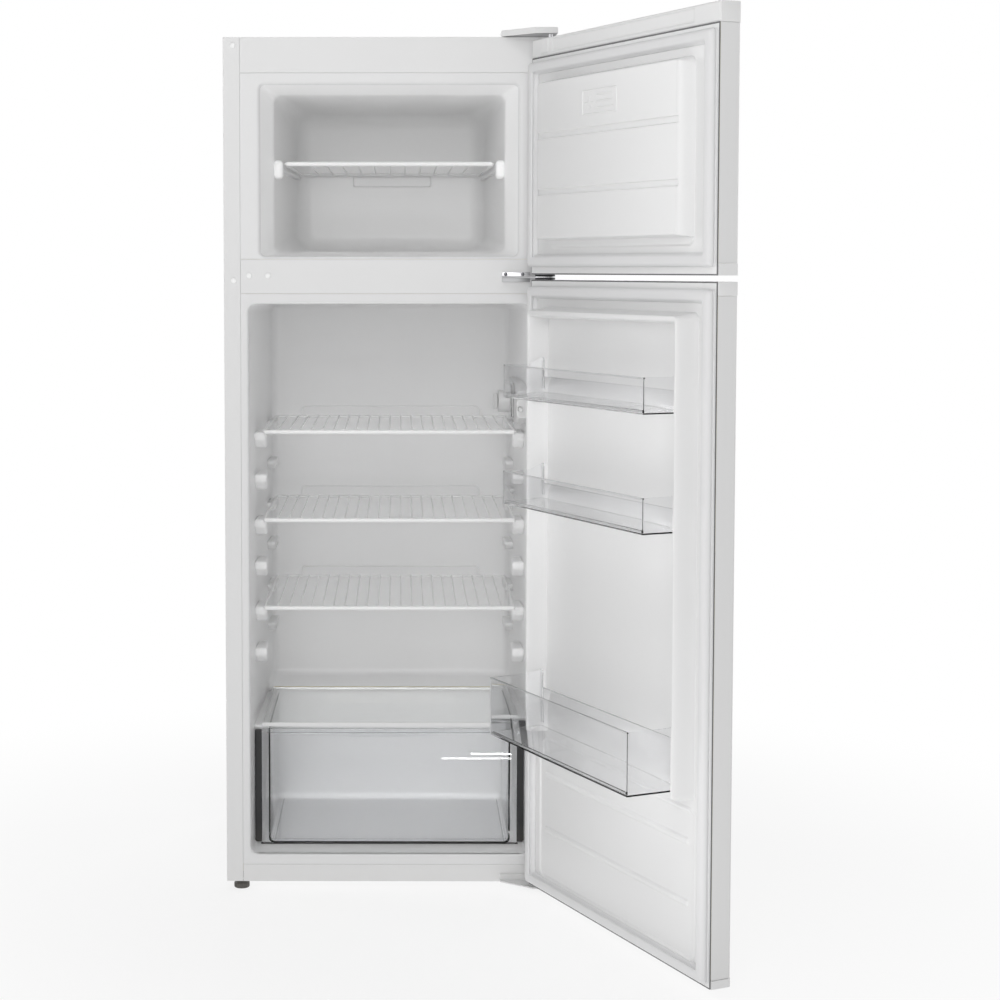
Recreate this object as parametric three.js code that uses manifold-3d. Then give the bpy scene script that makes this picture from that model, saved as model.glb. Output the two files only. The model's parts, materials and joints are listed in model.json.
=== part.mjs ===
// A two-door refrigerator with the freezer on top, both doors standing open to the right.
// Millimetres, +Z up. The design frame has X to the right, the cabinet's front at Y = 0 with +Y into the
// cabinet, and Z from the floor. The finished group is moved so that its origin is the middle of its base.
import * as THREE from 'three';
import { mergeVertices } from 'three/addons/utils/BufferGeometryUtils.js';
import Module from 'manifold-3d';

const wasm = await Module();
wasm.setup();

// ---------------------------------------------------------------- driving dimensions
const WIDTH = 540;
const CABINET_TOP = 1409;
const CABINET_DEPTH = 520;
const FOOT_HEIGHT = 16.5;
const GAP = 0.3; // between fixed pieces that touch
const RUN_GAP = 0.6; // between a moving piece and what it moves in
const SKIN = 0.8; // steel sheet
const LINER = 1.5; // moulded inner wall
const FREEZER_WALL = 58; // from the cabinet's side to the freezer's mouth
const FRIDGE_WALL = 40;
const REAR_WALL = 65;
const RETURN_WIDTH = 27; // the side panel's folded front edge
const RAIL_DEPTH = 12;
const TOP_RAIL_HEIGHT = 57.5;
const MIDDLE_RAIL_BASE = 993.5;
const MIDDLE_RAIL_HEIGHT = 56.3;
const BOTTOM_RAIL_HEIGHT = 28.7;
const MOUTH_DROP = 17; // from a rail down to the mouth under it
const MOUTH_RISE = 17.4; // from the bottom rail up to the fridge's mouth
const FREEZER_RISE = 4.9;

const HALF = WIDTH / 2;
const SIDE_INNER = HALF - SKIN;
const MIDDLE_RAIL_TOP = MIDDLE_RAIL_BASE + MIDDLE_RAIL_HEIGHT;
const TOP_RAIL_BASE = CABINET_TOP - TOP_RAIL_HEIGHT;
const LINER_DEPTH = CABINET_DEPTH - REAR_WALL;

// freezer compartment
const FREEZER_HALF = HALF - FREEZER_WALL;
const FREEZER_SPLAY = 22; // how far each side closes in from the mouth to the throat
const FREEZER_DRAFT = 18; // and from the throat to the back
const FREEZER_BASE = MIDDLE_RAIL_TOP + FREEZER_RISE;
const FREEZER_TOP = TOP_RAIL_BASE - MOUTH_DROP - 0.8;
const THROAT_DEPTH = 45;

// fridge compartment
const FRIDGE_HALF = HALF - FRIDGE_WALL;
const FRIDGE_DRAFT = 9;
const FRIDGE_BASE = FOOT_HEIGHT + BOTTOM_RAIL_HEIGHT + MOUTH_RISE;
const FRIDGE_TOP = MIDDLE_RAIL_BASE - MOUTH_DROP;
const STEP_TOP = 272; // the compressor step at the back
const STEP_FRONT = LINER_DEPTH - 105;
const NICHE_WALL = 34; // from the step's inner face to the machine niche
const NICHE_FRONT = STEP_FRONT + NICHE_WALL;
const NICHE_TOP = STEP_TOP - NICHE_WALL;

// shelves
const FREEZER_SHELF_LEVEL = FREEZER_BASE + 149.3;
const SHELF_SIDE_GAP = 16.5;
const SHELF_HALF = FRIDGE_HALF - SHELF_SIDE_GAP;
const SHELF_THICK = 6;
const SHELF_FRONT = 60;
const SHELF_BACK = LINER_DEPTH - 35;
const TOP_SHELF_LEVEL = FRIDGE_TOP - 217.5;
const SHELF_PITCH = 148.5;
const SHELF_WIRES = 21;
const FREEZER_WIRES = 11;
const LEDGE_REACH = 7; // how far a ledge comes in under a shelf
const LEDGE_HEIGHT = 28;

// crisper
const COVER_HALF = FRIDGE_HALF - 15;
const COVER_THICK = 7;
const COVER_BASE = STEP_TOP - COVER_THICK - 1;
const DRAWER_FRONT = 55;
const DRAWER_DEPTH = STEP_FRONT - DRAWER_FRONT - 10;
const DRAWER_BASE = FRIDGE_BASE + 2.4;
const DRAWER_TOP = COVER_BASE - 2;
const DRAWER_WALL = 2.5;

// doors
const DOOR_THICK = 35;
const DOOR_GAP = 12.5; // from the cabinet's front to the door's inner plane
const DOOR_OPEN = 114.4; // degrees, as it stands
const PIVOT_INSET = 12; // from the hinge edge
const PIVOT_BACK = 9; // behind the door's outer face
const FREEZER_DOOR = {
  base: MIDDLE_RAIL_BASE + 31.5, top: CABINET_TOP - 10.5, topCap: 28.5, bottomCap: 16.5,
};
const FRIDGE_DOOR = { base: FOOT_HEIGHT + 9, top: MIDDLE_RAIL_BASE + 23, topCap: 19.5, bottomCap: 12 };
const CAP_PROUD = 1.2; // how far a cap stands past the steel
const GASKET_EDGE = 4;
const GASKET_WIDTH = 20;
const GASKET_TAPER = 4;
const SEAL_GAP = 0.5;
const RIB_HEIGHT = 35; // the fridge door's frame of ribs
const RIB_WIDTH = 10;
const BIN_GAP = 1; // between a bin and the ribs at its ends
const BIN_WALL = 2;
const BIN_BACK = 11; // in from the door's inner plane
const SHALLOW_REACH = 80;
const BOTTLE_REACH = 102;
const LEDGE_FRONT = BOTTLE_REACH - DOOR_GAP + 5.5; // clear of the bins when the door is shut

// hinges and pins
const PIN_RADIUS = 4;
const PIN_LENGTH = 12;
const BRACKET = 2.5;
const PIVOT = new THREE.Vector2(HALF - PIVOT_INSET, -(DOOR_GAP + DOOR_THICK - PIVOT_BACK));
const HINGE_LEFT = PIVOT.x - 74;

// control unit
const CONTROL_FACE = FRIDGE_HALF - 18;
const CONTROL_BASE = TOP_SHELF_LEVEL + SHELF_THICK + 10;
const CONTROL_TOP = CONTROL_BASE + 54;
const CONTROL_FRONT = 45;
const CONTROL_BACK = 300;
const KNOB_RADIUS = 14.3;
const KNOB_THICK = 8;
const KNOB_FACE = CONTROL_FACE - 30.5;
const KNOB_Y = 250;
const BUTTON_X = FRIDGE_HALF - 12.5;
const BUTTON_RADIUS = 3.6;
const BUTTON_TIP = RIB_HEIGHT - DOOR_GAP + 2; // just clear of the shut door's rib

// ---------------------------------------------------------------- solids
function solidOf(geometry) {
  const plain = geometry.clone();
  plain.deleteAttribute('normal');
  plain.deleteAttribute('uv');
  const merged = mergeVertices(plain, 1e-4);
  const vertProperties = Float32Array.from(merged.attributes.position.array);
  const triVerts = Uint32Array.from(merged.index.array);
  return new wasm.Manifold(new wasm.Mesh({ numProp: 3, vertProperties, triVerts }));
}

function geometryOf(solid) {
  const mesh = solid.getMesh();
  const geometry = new THREE.BufferGeometry();
  geometry.setAttribute('position', new THREE.BufferAttribute(mesh.vertProperties, 3));
  geometry.setIndex(new THREE.BufferAttribute(mesh.triVerts, 1));
  geometry.computeVertexNormals();
  return geometry;
}

function join(...solids) {
  return solids.flat().reduce((whole, next) => whole.add(next));
}

function cut(solid, ...tools) {
  return tools.flat().reduce((whole, tool) => whole.subtract(tool), solid);
}

function box([x0, x1], [y0, y1], [z0, z1]) {
  const block = new THREE.BoxGeometry(x1 - x0, y1 - y0, z1 - z0);
  return solidOf(block.translate((x0 + x1) / 2, (y0 + y1) / 2, (z0 + z1) / 2));
}

// A rod or disc from one height to another along an axis through a point.
function rod(axis, [a, b], radius, from, to, sides = 20) {
  const shape = new THREE.CylinderGeometry(radius, radius, to - from, sides);
  const middle = (from + to) / 2;
  if (axis === 'x') return solidOf(shape.rotateZ(-Math.PI / 2).translate(middle, a, b));
  if (axis === 'y') return solidOf(shape.translate(a, middle, b));
  return solidOf(shape.rotateX(Math.PI / 2).translate(a, b, middle));
}

// An outline in X and Y, raised from z0 to z1.
function plate(points, z0, z1) {
  const shape = new THREE.Shape(points.map(([x, y]) => new THREE.Vector2(x, y)));
  const block = new THREE.ExtrudeGeometry(shape, { depth: z1 - z0, bevelEnabled: false });
  return solidOf(block.translate(0, 0, z0));
}

// An outline in Y and Z, drawn out from x0 to x1.
function profile(points, x0, x1) {
  const shape = new THREE.Shape(points.map(([y, z]) => new THREE.Vector2(y, z)));
  const block = new THREE.ExtrudeGeometry(shape, { depth: x1 - x0, bevelEnabled: false });
  block.rotateX(Math.PI / 2).rotateZ(Math.PI / 2);
  return solidOf(block.translate(x0, 0, 0));
}

// A ring of points round a rectangle with round corners, standing at one depth.
function ring({ x, z, radius, y }, steps = 4) {
  const points = [];
  const corners = [[x[1], z[1], 0], [x[0], z[1], 1], [x[0], z[0], 2], [x[1], z[0], 3]];
  for (const [cx, cz, quarter] of corners) {
    const mx = cx - Math.sign(cx - (x[0] + x[1]) / 2) * radius;
    const mz = cz - Math.sign(cz - (z[0] + z[1]) / 2) * radius;
    for (let i = 0; i <= steps; i += 1) {
      const angle = (quarter + i / steps) * Math.PI / 2;
      points.push(mx + radius * Math.cos(angle), y, mz + radius * Math.sin(angle));
    }
  }
  return points;
}

// A closed solid through such rings, from the front one to the back one.
function loft(sections, steps = 4) {
  const rings = sections.map((section) => ring(section, steps));
  const count = rings[0].length / 3;
  const index = [];
  for (let r = 0; r + 1 < rings.length; r += 1) {
    for (let i = 0; i < count; i += 1) {
      const next = (i + 1) % count;
      const [a, b] = [r * count + i, r * count + next];
      index.push(a, a + count, b, b, a + count, b + count);
    }
  }
  const last = (rings.length - 1) * count;
  for (let i = 1; i + 1 < count; i += 1) index.push(0, i, i + 1, last, last + i + 1, last + i);
  const geometry = new THREE.BufferGeometry();
  geometry.setAttribute('position', new THREE.BufferAttribute(new Float32Array(rings.flat()), 3));
  geometry.setIndex(index);
  geometry.computeVertexNormals();
  return solidOf(geometry);
}

function grown({ x, z, radius, y }, by) {
  return { x: [x[0] - by, x[1] + by], z: [z[0] - by, z[1] + by], radius: radius + by, y };
}

// ---------------------------------------------------------------- finishes and nodes
function finish(color, roughness = 0.4, metalness = 0) {
  return () => new THREE.MeshStandardMaterial({ color, roughness, metalness });
}

const paint = finish(0xf4f4f4, 0.35);
const whitePlastic = finish(0xf0f0f0, 0.45);
const linerPlastic = finish(0xececee, 0.4);
const clearPlastic = finish(0xdfe4e8, 0.1);
const gasketRubber = finish(0xe2e2e4, 0.7);
const whiteWire = finish(0xf6f6f6, 0.4);
const glass = finish(0xd8e4e2, 0.05);
const steel = finish(0xb8babd, 0.3, 1);
const blackSteel = finish(0x1d1d1f, 0.5, 0.2);
const blackPlastic = finish(0x18181a, 0.5);
const foam = finish(0xe8d9a8, 0.9);
const aluminium = finish(0xcfd2d5, 0.35, 1);
const copper = finish(0xb87345, 0.35, 1);

const refrigerator = new THREE.Group();

function node(name, solid, material, parent = refrigerator) {
  const mesh = new THREE.Mesh(geometryOf(solid), material());
  mesh.name = name;
  parent.add(mesh);
  return mesh;
}

// ---------------------------------------------------------------- inner tubs
function freezerTub(by = 0, lip = 0) {
  const mouth = { x: [-FREEZER_HALF, FREEZER_HALF], z: [FREEZER_BASE, FREEZER_TOP], radius: 8 };
  const throatHalf = FREEZER_HALF - FREEZER_SPLAY;
  const throat = {
    x: [-throatHalf, throatHalf], z: [FREEZER_BASE + 6, FREEZER_TOP - 15], radius: 12, y: THROAT_DEPTH,
  };
  const backHalf = throatHalf - FREEZER_DRAFT;
  const back = {
    x: [-backHalf, backHalf], z: [FREEZER_BASE + 13, FREEZER_TOP - 17], radius: 35, y: LINER_DEPTH + by,
  };
  const sections = [{ ...mouth, y: 0 }, throat, back].map((section) => grown(section, by));
  return loft(lip ? [{ ...sections[0], y: -lip }, ...sections] : sections, 5);
}

function fridgeTub(by = 0, lip = 0) {
  const mouth = { x: [-FRIDGE_HALF, FRIDGE_HALF], z: [FRIDGE_BASE, FRIDGE_TOP], radius: 13, y: 0 };
  const backHalf = FRIDGE_HALF - FRIDGE_DRAFT;
  const back = {
    x: [-backHalf, backHalf], z: [FRIDGE_BASE, FRIDGE_TOP - 8], radius: 13, y: LINER_DEPTH + by,
  };
  const sections = [mouth, back].map((section) => grown(section, by));
  const tub = loft(lip ? [{ ...sections[0], y: -lip }, ...sections] : sections, 4);
  const step = box([-HALF, HALF], [STEP_FRONT + by, CABINET_DEPTH], [0, STEP_TOP - by]);
  return cut(tub, step);
}

function wallAt(y) {
  return FRIDGE_HALF - FRIDGE_DRAFT * y / LINER_DEPTH;
}

function freezerWallAt(y) {
  const along = (y - THROAT_DEPTH) / (LINER_DEPTH - THROAT_DEPTH);
  return FREEZER_HALF - FREEZER_SPLAY - FREEZER_DRAFT * along;
}

// A moulded ledge that joins a side wall and carries a shelf; its front slopes away.
function ledge(side, wall, reach, front, back, top, height) {
  const outline = [
    [wall(front) + 1, front], [wall(back) + 1, back], [reach(back), back], [reach(front), front],
  ];
  const block = plate(outline.map(([x, y]) => [side * x, y]), top - height, top);
  const slope = profile(
    [[front - 5, top - height - 5], [front + height, top - height - 5], [front - 5, top - height / 3]],
    -HALF, HALF,
  );
  return cut(block, slope);
}

const shelfLevels = [0, 1, 2].map((i) => TOP_SHELF_LEVEL - i * SHELF_PITCH);
const ledgeLevels = shelfLevels.flatMap((level) => [level, level - SHELF_PITCH / 2 + 3]);

function freezerLiner() {
  const flange = box(
    [-(HALF - RETURN_WIDTH - GAP), HALF - RETURN_WIDTH - GAP], [0, LINER],
    [MIDDLE_RAIL_TOP + GAP, TOP_RAIL_BASE - GAP],
  );
  const shell = cut(join(flange, freezerTub(LINER)), freezerTub(0, 5));
  const reach = (y) => freezerWallAt(y) - 16;
  const top = FREEZER_SHELF_LEVEL - GAP;
  const ledges = [-1, 1].map((side) => ledge(side, freezerWallAt, reach, THROAT_DEPTH + 3, 430, top, 21));
  return join(shell, ledges);
}

function fridgeLiner() {
  const flange = box(
    [-(HALF - RETURN_WIDTH - GAP), HALF - RETURN_WIDTH - GAP], [0, LINER],
    [FOOT_HEIGHT + BOTTOM_RAIL_HEIGHT + GAP, MIDDLE_RAIL_BASE - GAP],
  );
  const shell = cut(join(flange, fridgeTub(LINER)), fridgeTub(0, 5));
  const reach = () => SHELF_HALF - LEDGE_REACH;
  const ledges = [];
  for (const side of [-1, 1]) {
    for (const level of ledgeLevels) {
      ledges.push(ledge(side, wallAt, reach, LEDGE_FRONT, SHELF_BACK + 10, level - GAP, LEDGE_HEIGHT));
    }
    ledges.push(ledge(side, wallAt, reach, DRAWER_FRONT + 18, STEP_FRONT + 1, COVER_BASE - GAP, 14));
  }
  return join(shell, ledges);
}

// ---------------------------------------------------------------- cabinet shell
function sidePanel(side) {
  const outline = [
    [HALF, SKIN], [HALF, CABINET_DEPTH], [HALF - SKIN, CABINET_DEPTH], [HALF - SKIN, SKIN],
    [HALF - RETURN_WIDTH, SKIN], [HALF - RETURN_WIDTH, 0], [HALF - SKIN, 0], [HALF - SKIN / 4, SKIN / 4],
  ];
  return plate(outline.map(([x, y]) => [side * x, y]), FOOT_HEIGHT, CABINET_TOP);
}

// A front cross member: a C section that opens to the back.
function frontRail(base, height) {
  const half = HALF - RETURN_WIDTH - GAP;
  const outer = box([-half, half], [0, RAIL_DEPTH], [base, base + height]);
  return cut(outer, box([-HALF, HALF], [1, CABINET_DEPTH], [base + 1, base + height - 1]));
}

const RAIL_BACK = RAIL_DEPTH + GAP;
const PANEL_HALF = SIDE_INNER - GAP;
const FOOT_X = HALF - 23;
const FRONT_FOOT_Y = 24;
const STEM_RADIUS = 5;
const BASE_CAVITY = 30; // top of the air gap over the base pan

for (const [name, side] of [['left_side_panel', -1], ['right_side_panel', 1]]) {
  node(name, sidePanel(side), paint);
}
node('top_panel', box(
  [-PANEL_HALF, PANEL_HALF], [RAIL_BACK, CABINET_DEPTH - SKIN - GAP], [CABINET_TOP - SKIN, CABINET_TOP],
), paint);
node('rear_panel', box(
  [-PANEL_HALF, PANEL_HALF], [CABINET_DEPTH - SKIN, CABINET_DEPTH], [NICHE_TOP, CABINET_TOP],
), paint);
const footHoles = [-FOOT_X, FOOT_X].map(
  (x) => rod('z', [x, FRONT_FOOT_Y], STEM_RADIUS + RUN_GAP, FOOT_HEIGHT - 5, BASE_CAVITY),
);
node('base_pan', cut(box(
  [-PANEL_HALF, PANEL_HALF], [RAIL_BACK, CABINET_DEPTH], [FOOT_HEIGHT, FOOT_HEIGHT + SKIN],
), footHoles), paint);
node('top_front_rail', frontRail(TOP_RAIL_BASE, TOP_RAIL_HEIGHT), paint);
node('middle_front_rail', frontRail(MIDDLE_RAIL_BASE, MIDDLE_RAIL_HEIGHT), paint);
node('bottom_front_rail', frontRail(FOOT_HEIGHT, BOTTOM_RAIL_HEIGHT), paint);
node('freezer_liner', freezerLiner(), linerPlastic);
node('fridge_liner', fridgeLiner(), linerPlastic);

const EVAPORATOR = {
  half: freezerWallAt(LINER_DEPTH) - 22, base: FREEZER_BASE + 35, top: FREEZER_TOP - 38, thick: 2,
};
const evaporatorFront = LINER_DEPTH + LINER + GAP;
function evaporator(by) {
  return box(
    [-EVAPORATOR.half - by, EVAPORATOR.half + by],
    [evaporatorFront - by, evaporatorFront + EVAPORATOR.thick + by],
    [EVAPORATOR.base - by, EVAPORATOR.top + by],
  );
}
node('evaporator_plate', evaporator(0), aluminium);
node('cabinet_insulation', cut(
  box(
    [-PANEL_HALF, PANEL_HALF], [RAIL_BACK, CABINET_DEPTH - SKIN - GAP],
    [BASE_CAVITY, CABINET_TOP - SKIN - GAP],
  ),
  freezerTub(LINER + GAP), fridgeTub(LINER + GAP), evaporator(GAP),
  box([-HALF, HALF], [NICHE_FRONT, CABINET_DEPTH], [0, NICHE_TOP]),
), foam);

// ---------------------------------------------------------------- machine compartment
const COMPRESSOR = {
  x: 90, y: CABINET_DEPTH - 68, radius: 56, stretch: 1.35, base: 34, top: NICHE_TOP - 38,
};
const CRADLE_TOP = COMPRESSOR.base - GAP;

function compressorShell() {
  const { radius, base, top } = COMPRESSOR;
  const height = top - base;
  const points = [
    [0, 0], [radius * 0.8, 0], [radius, 16], [radius, height - 34], [radius * 0.8, height - 10], [0, height],
  ];
  const shell = new THREE.LatheGeometry(points.map(([r, h]) => new THREE.Vector2(r, h)), 28);
  shell.rotateX(Math.PI / 2).scale(COMPRESSOR.stretch, 1, 1);
  return solidOf(shell.translate(COMPRESSOR.x, COMPRESSOR.y, base));
}
node('compressor', compressorShell(), blackSteel);
const cradleHalf = COMPRESSOR.radius * COMPRESSOR.stretch + 22;
const cradlePlate = box(
  [COMPRESSOR.x - cradleHalf, COMPRESSOR.x + cradleHalf], [COMPRESSOR.y - 48, COMPRESSOR.y + 48],
  [CRADLE_TOP - 3, CRADLE_TOP],
);
const grommets = [-1, 1].flatMap((sx) => [-1, 1].map((sy) => rod(
  'z', [COMPRESSOR.x + sx * (cradleHalf - 12), COMPRESSOR.y + sy * 36], 9,
  FOOT_HEIGHT + SKIN + GAP, CRADLE_TOP - 1, 16,
)));
node('compressor_cradle', join(cradlePlate, grommets), blackSteel);
const terminalX = COMPRESSOR.x - COMPRESSOR.radius * COMPRESSOR.stretch - GAP;
node('compressor_terminal_cover', box(
  [terminalX - 34, terminalX], [COMPRESSOR.y - 28, COMPRESSOR.y + 28], [70, 135],
), blackPlastic);
const TRAY = { half: 62, depth: 40, base: COMPRESSOR.top + GAP, height: 26, wall: 2 };
node('evaporation_tray', cut(
  box(
    [COMPRESSOR.x - TRAY.half, COMPRESSOR.x + TRAY.half],
    [COMPRESSOR.y - TRAY.depth, COMPRESSOR.y + TRAY.depth],
    [TRAY.base, TRAY.base + TRAY.height],
  ),
  box(
    [COMPRESSOR.x - TRAY.half + TRAY.wall, COMPRESSOR.x + TRAY.half - TRAY.wall],
    [COMPRESSOR.y - TRAY.depth + TRAY.wall, COMPRESSOR.y + TRAY.depth - TRAY.wall],
    [TRAY.base + TRAY.wall, TRAY.base + TRAY.height + 1],
  ),
), blackPlastic);

// The condenser: flat runs of tube joined at their ends, with upright wires across them.
const CONDENSER = {
  half: HALF - 45, base: NICHE_TOP + 52, top: CABINET_TOP - 119, runs: 9, wires: 9, tube: 5,
  plane: CABINET_DEPTH + 16,
};
function condenserCoil() {
  const { half, base, top, runs, wires, tube, plane } = CONDENSER;
  const pitch = (top - base) / (runs - 1);
  const pieces = [];
  for (let i = 0; i < runs; i += 1) {
    const z = base + i * pitch;
    pieces.push(box([-half, half], [plane - tube, plane], [z - tube / 2, z + tube / 2]));
    const end = i % 2 ? -half : half - tube;
    if (i + 1 < runs) pieces.push(box([end, end + tube], [plane - tube, plane], [z, z + pitch]));
  }
  for (let i = 0; i < wires; i += 1) {
    const x = -half + 25 + i * (2 * half - 50) / (wires - 1);
    pieces.push(box([x - 1, x + 1], [plane - 1, plane + 1.5], [base - 12, top + 12]));
  }
  for (const x of [-half + 25, half - 25]) {
    for (const z of [base + pitch * 1.5, top - pitch * 1.5]) {
      pieces.push(box([x - 7, x + 7], [CABINET_DEPTH + GAP, plane], [z - 6, z + 6]));
    }
  }
  return join(pieces);
}
node('condenser_coil', condenserCoil(), blackSteel);

function pipe(points, radius) {
  const places = points.map((p) => new THREE.Vector3(...p));
  const route = new THREE.CatmullRomCurve3(places, false, 'centripetal');
  const section = new THREE.Shape().absarc(0, 0, radius, 0, Math.PI * 2);
  return solidOf(new THREE.ExtrudeGeometry(section, { extrudePath: route, steps: 24, curveSegments: 4 }));
}
const pipeEnd = [-CONDENSER.half + 2.5, CONDENSER.plane - 2.5, CONDENSER.base - 6];
node('refrigerant_pipe', pipe([
  [COMPRESSOR.x - 40, COMPRESSOR.y + 51.2, 150], [COMPRESSOR.x - 80, COMPRESSOR.y + 56, 165],
  [COMPRESSOR.x - 150, COMPRESSOR.y + 56, 120], [-140, CABINET_DEPTH - 8, NICHE_TOP - 68],
  [pipeEnd[0] + 22, CABINET_DEPTH + 6, pipeEnd[2] - 54],
  [pipeEnd[0] + 8, pipeEnd[1], pipeEnd[2] - 22], pipeEnd,
], 3), copper);
const INLET = { x: -180, z: 75 };
node('cord_inlet', cut(
  box([INLET.x - 30, INLET.x + 30], [CABINET_DEPTH - 40, CABINET_DEPTH - 8], [INLET.z - 22, INLET.z + 22]),
  box([INLET.x - 13, INLET.x + 13], [CABINET_DEPTH - 26, CABINET_DEPTH], [INLET.z - 9, INLET.z + 9]),
), blackPlastic);

// ---------------------------------------------------------------- feet
function footOf(stem) {
  const base = FOOT_HEIGHT - GAP;
  const points = [[0, 0], [12, 0], [13, 1.5], [13, 8], [10, base], [STEM_RADIUS, base]];
  if (stem) points.push([STEM_RADIUS, BASE_CAVITY - 3], [0, BASE_CAVITY - 3]);
  else points.push([0, base]);
  const turned = new THREE.LatheGeometry(points.map(([r, h]) => new THREE.Vector2(r, h)), 24);
  return turned.rotateX(Math.PI / 2);
}
for (const [name, side] of [['left', -1], ['right', 1]]) {
  node(`front_foot_${name}`, solidOf(footOf(true).translate(side * FOOT_X, FRONT_FOOT_Y, 0)), blackPlastic);
  const rear = footOf(false).translate(side * FOOT_X, CABINET_DEPTH - 40, 0);
  node(`rear_foot_${name}`, solidOf(rear), blackPlastic);
}

// ---------------------------------------------------------------- hole plugs for rehung doors
const PLUGS = {
  hole_plug_top: [HALF - 16, CABINET_TOP - 13], hole_plug_side: [HALF - 16, MIDDLE_RAIL_BASE + 21.5],
  hole_plug_rail_outer: [HALF - 41.4, MIDDLE_RAIL_BASE + 29.5],
  hole_plug_rail_inner: [HALF - 72, MIDDLE_RAIL_BASE + 29.5],
};
for (const [name, [x, z]] of Object.entries(PLUGS)) {
  node(name, rod('y', [-x, z], 4.5, -1.6, -GAP, 18), whitePlastic);
}

// ---------------------------------------------------------------- hinges
function hingeArm(z) {
  const round = [];
  for (let i = 0; i <= 8; i += 1) {
    const angle = -Math.PI / 2 * i / 8;
    round.push([PIVOT.x + 10 * Math.sin(-angle), PIVOT.y - 10 * Math.cos(angle)]);
  }
  const outline = [
    [HINGE_LEFT, -GAP], [HINGE_LEFT, -BRACKET - 8], [PIVOT.x - 22, PIVOT.y - 9], ...round,
    [PIVOT.x + 10, -GAP],
  ];
  return plate(outline, z, z + BRACKET);
}

const MIDDLE_GAP = (FRIDGE_DOOR.top + FREEZER_DOOR.base) / 2;
const middleArm = MIDDLE_GAP - BRACKET / 2;
node('top_hinge_bracket', join(
  plate([
    [HINGE_LEFT + 6, 38], [HINGE_LEFT + 6, 4], [PIVOT.x - 20, PIVOT.y - 9], [PIVOT.x + 9, PIVOT.y - 9],
    [PIVOT.x + 9, 38],
  ], CABINET_TOP + GAP, CABINET_TOP + GAP + BRACKET),
  rod('z', [PIVOT.x, PIVOT.y], PIN_RADIUS, FREEZER_DOOR.top - PIN_LENGTH, CABINET_TOP + 1),
), steel);
const COVER_HEIGHT = 10;
const COVER_LEFT = HINGE_LEFT - 2;
const coverInside = (by) => [
  [COVER_LEFT + by, 45 - by], [COVER_LEFT + by, -2 + by], [PIVOT.x - 24 + by, PIVOT.y - 12 + by],
  [HALF - by, PIVOT.y - 12 + by], [HALF - by, 45 - by],
];
node('top_hinge_cover', cut(
  plate(coverInside(0), CABINET_TOP + GAP, CABINET_TOP + COVER_HEIGHT),
  plate(coverInside(1.6), CABINET_TOP, CABINET_TOP + COVER_HEIGHT - 1.6),
), whitePlastic);
const SCREWS = [HINGE_LEFT + 6, HINGE_LEFT + 34];
node('middle_hinge_bracket', join(
  hingeArm(middleArm),
  box([HINGE_LEFT, HINGE_LEFT + 46], [-BRACKET - GAP, -GAP], [MIDDLE_GAP - 8, MIDDLE_GAP + 8]),
  rod('z', [PIVOT.x, PIVOT.y], PIN_RADIUS, FRIDGE_DOOR.top - PIN_LENGTH, FREEZER_DOOR.base + PIN_LENGTH),
), steel);
SCREWS.forEach((x, i) => node(
  `middle_hinge_screw_${i ? 'right' : 'left'}`,
  rod('y', [x, MIDDLE_GAP + 4.6], 3, -BRACKET - GAP - 2.3, -BRACKET - 2 * GAP, 16), steel,
));
const BOTTOM_ARM = FOOT_HEIGHT + 2;
node('bottom_hinge_bracket', join(
  hingeArm(BOTTOM_ARM),
  box([HINGE_LEFT, PIVOT.x + 10], [-BRACKET - GAP, -GAP], [FOOT_HEIGHT + 0.5, FOOT_HEIGHT + 13]),
  rod('z', [PIVOT.x, PIVOT.y], PIN_RADIUS, BOTTOM_ARM + 1, FRIDGE_DOOR.base + FRIDGE_DOOR.bottomCap - 2),
), paint);

// ---------------------------------------------------------------- control unit on the right wall
const controlMiddle = (CONTROL_BASE + CONTROL_TOP) / 2;
const LAMP = { front: 138, back: 215, base: CONTROL_BASE + 8, top: CONTROL_TOP - 8, pocket: 7 };
const KNOB_SHAFT = 3;
const domeTip = KNOB_FACE + KNOB_THICK + 1;
const housingBlock = join(
  loft([
    { x: [CONTROL_FACE, HALF], z: [CONTROL_BASE + 12, CONTROL_TOP - 12], radius: 5, y: CONTROL_FRONT },
    { x: [CONTROL_FACE, HALF], z: [CONTROL_BASE, CONTROL_TOP], radius: 6, y: CONTROL_FRONT + 40 },
    { x: [CONTROL_FACE, HALF], z: [CONTROL_BASE, CONTROL_TOP], radius: 6, y: CONTROL_BACK },
  ], 3),
  rod('x', [KNOB_Y, controlMiddle], KNOB_RADIUS + 5, domeTip, CONTROL_FACE + 4, 28),
);
node('control_housing', cut(
  housingBlock.intersect(fridgeTub(-GAP)),
  box([CONTROL_FACE - 1, CONTROL_FACE + LAMP.pocket], [LAMP.front, LAMP.back], [LAMP.base, LAMP.top]),
  rod('x', [KNOB_Y, controlMiddle], KNOB_SHAFT + RUN_GAP, domeTip - 1, CONTROL_FACE - 4, 16),
  rod('y', [BUTTON_X, controlMiddle], BUTTON_RADIUS + RUN_GAP, CONTROL_FRONT - 1, CONTROL_FRONT + 45, 16),
), whitePlastic);
node('lamp_bulb', rod(
  'y', [CONTROL_FACE + 3, controlMiddle], 2.6, LAMP.front + 12, LAMP.back - 12, 12,
), glass);
const lensFace = {
  x: [CONTROL_FACE - 3.5, CONTROL_FACE - GAP], z: [LAMP.base - 3, LAMP.top + 3], radius: 1.2,
};
node('lamp_lens', loft([
  { ...lensFace, y: LAMP.front - 4 }, { ...lensFace, y: LAMP.back + 4 },
], 2), clearPlastic);
node('thermostat_knob', join(
  rod('x', [KNOB_Y, controlMiddle], KNOB_RADIUS, KNOB_FACE, KNOB_FACE + KNOB_THICK, 32),
  rod('x', [KNOB_Y, controlMiddle], KNOB_SHAFT, KNOB_FACE + 4, CONTROL_FACE - 6, 16),
), whitePlastic);
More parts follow.
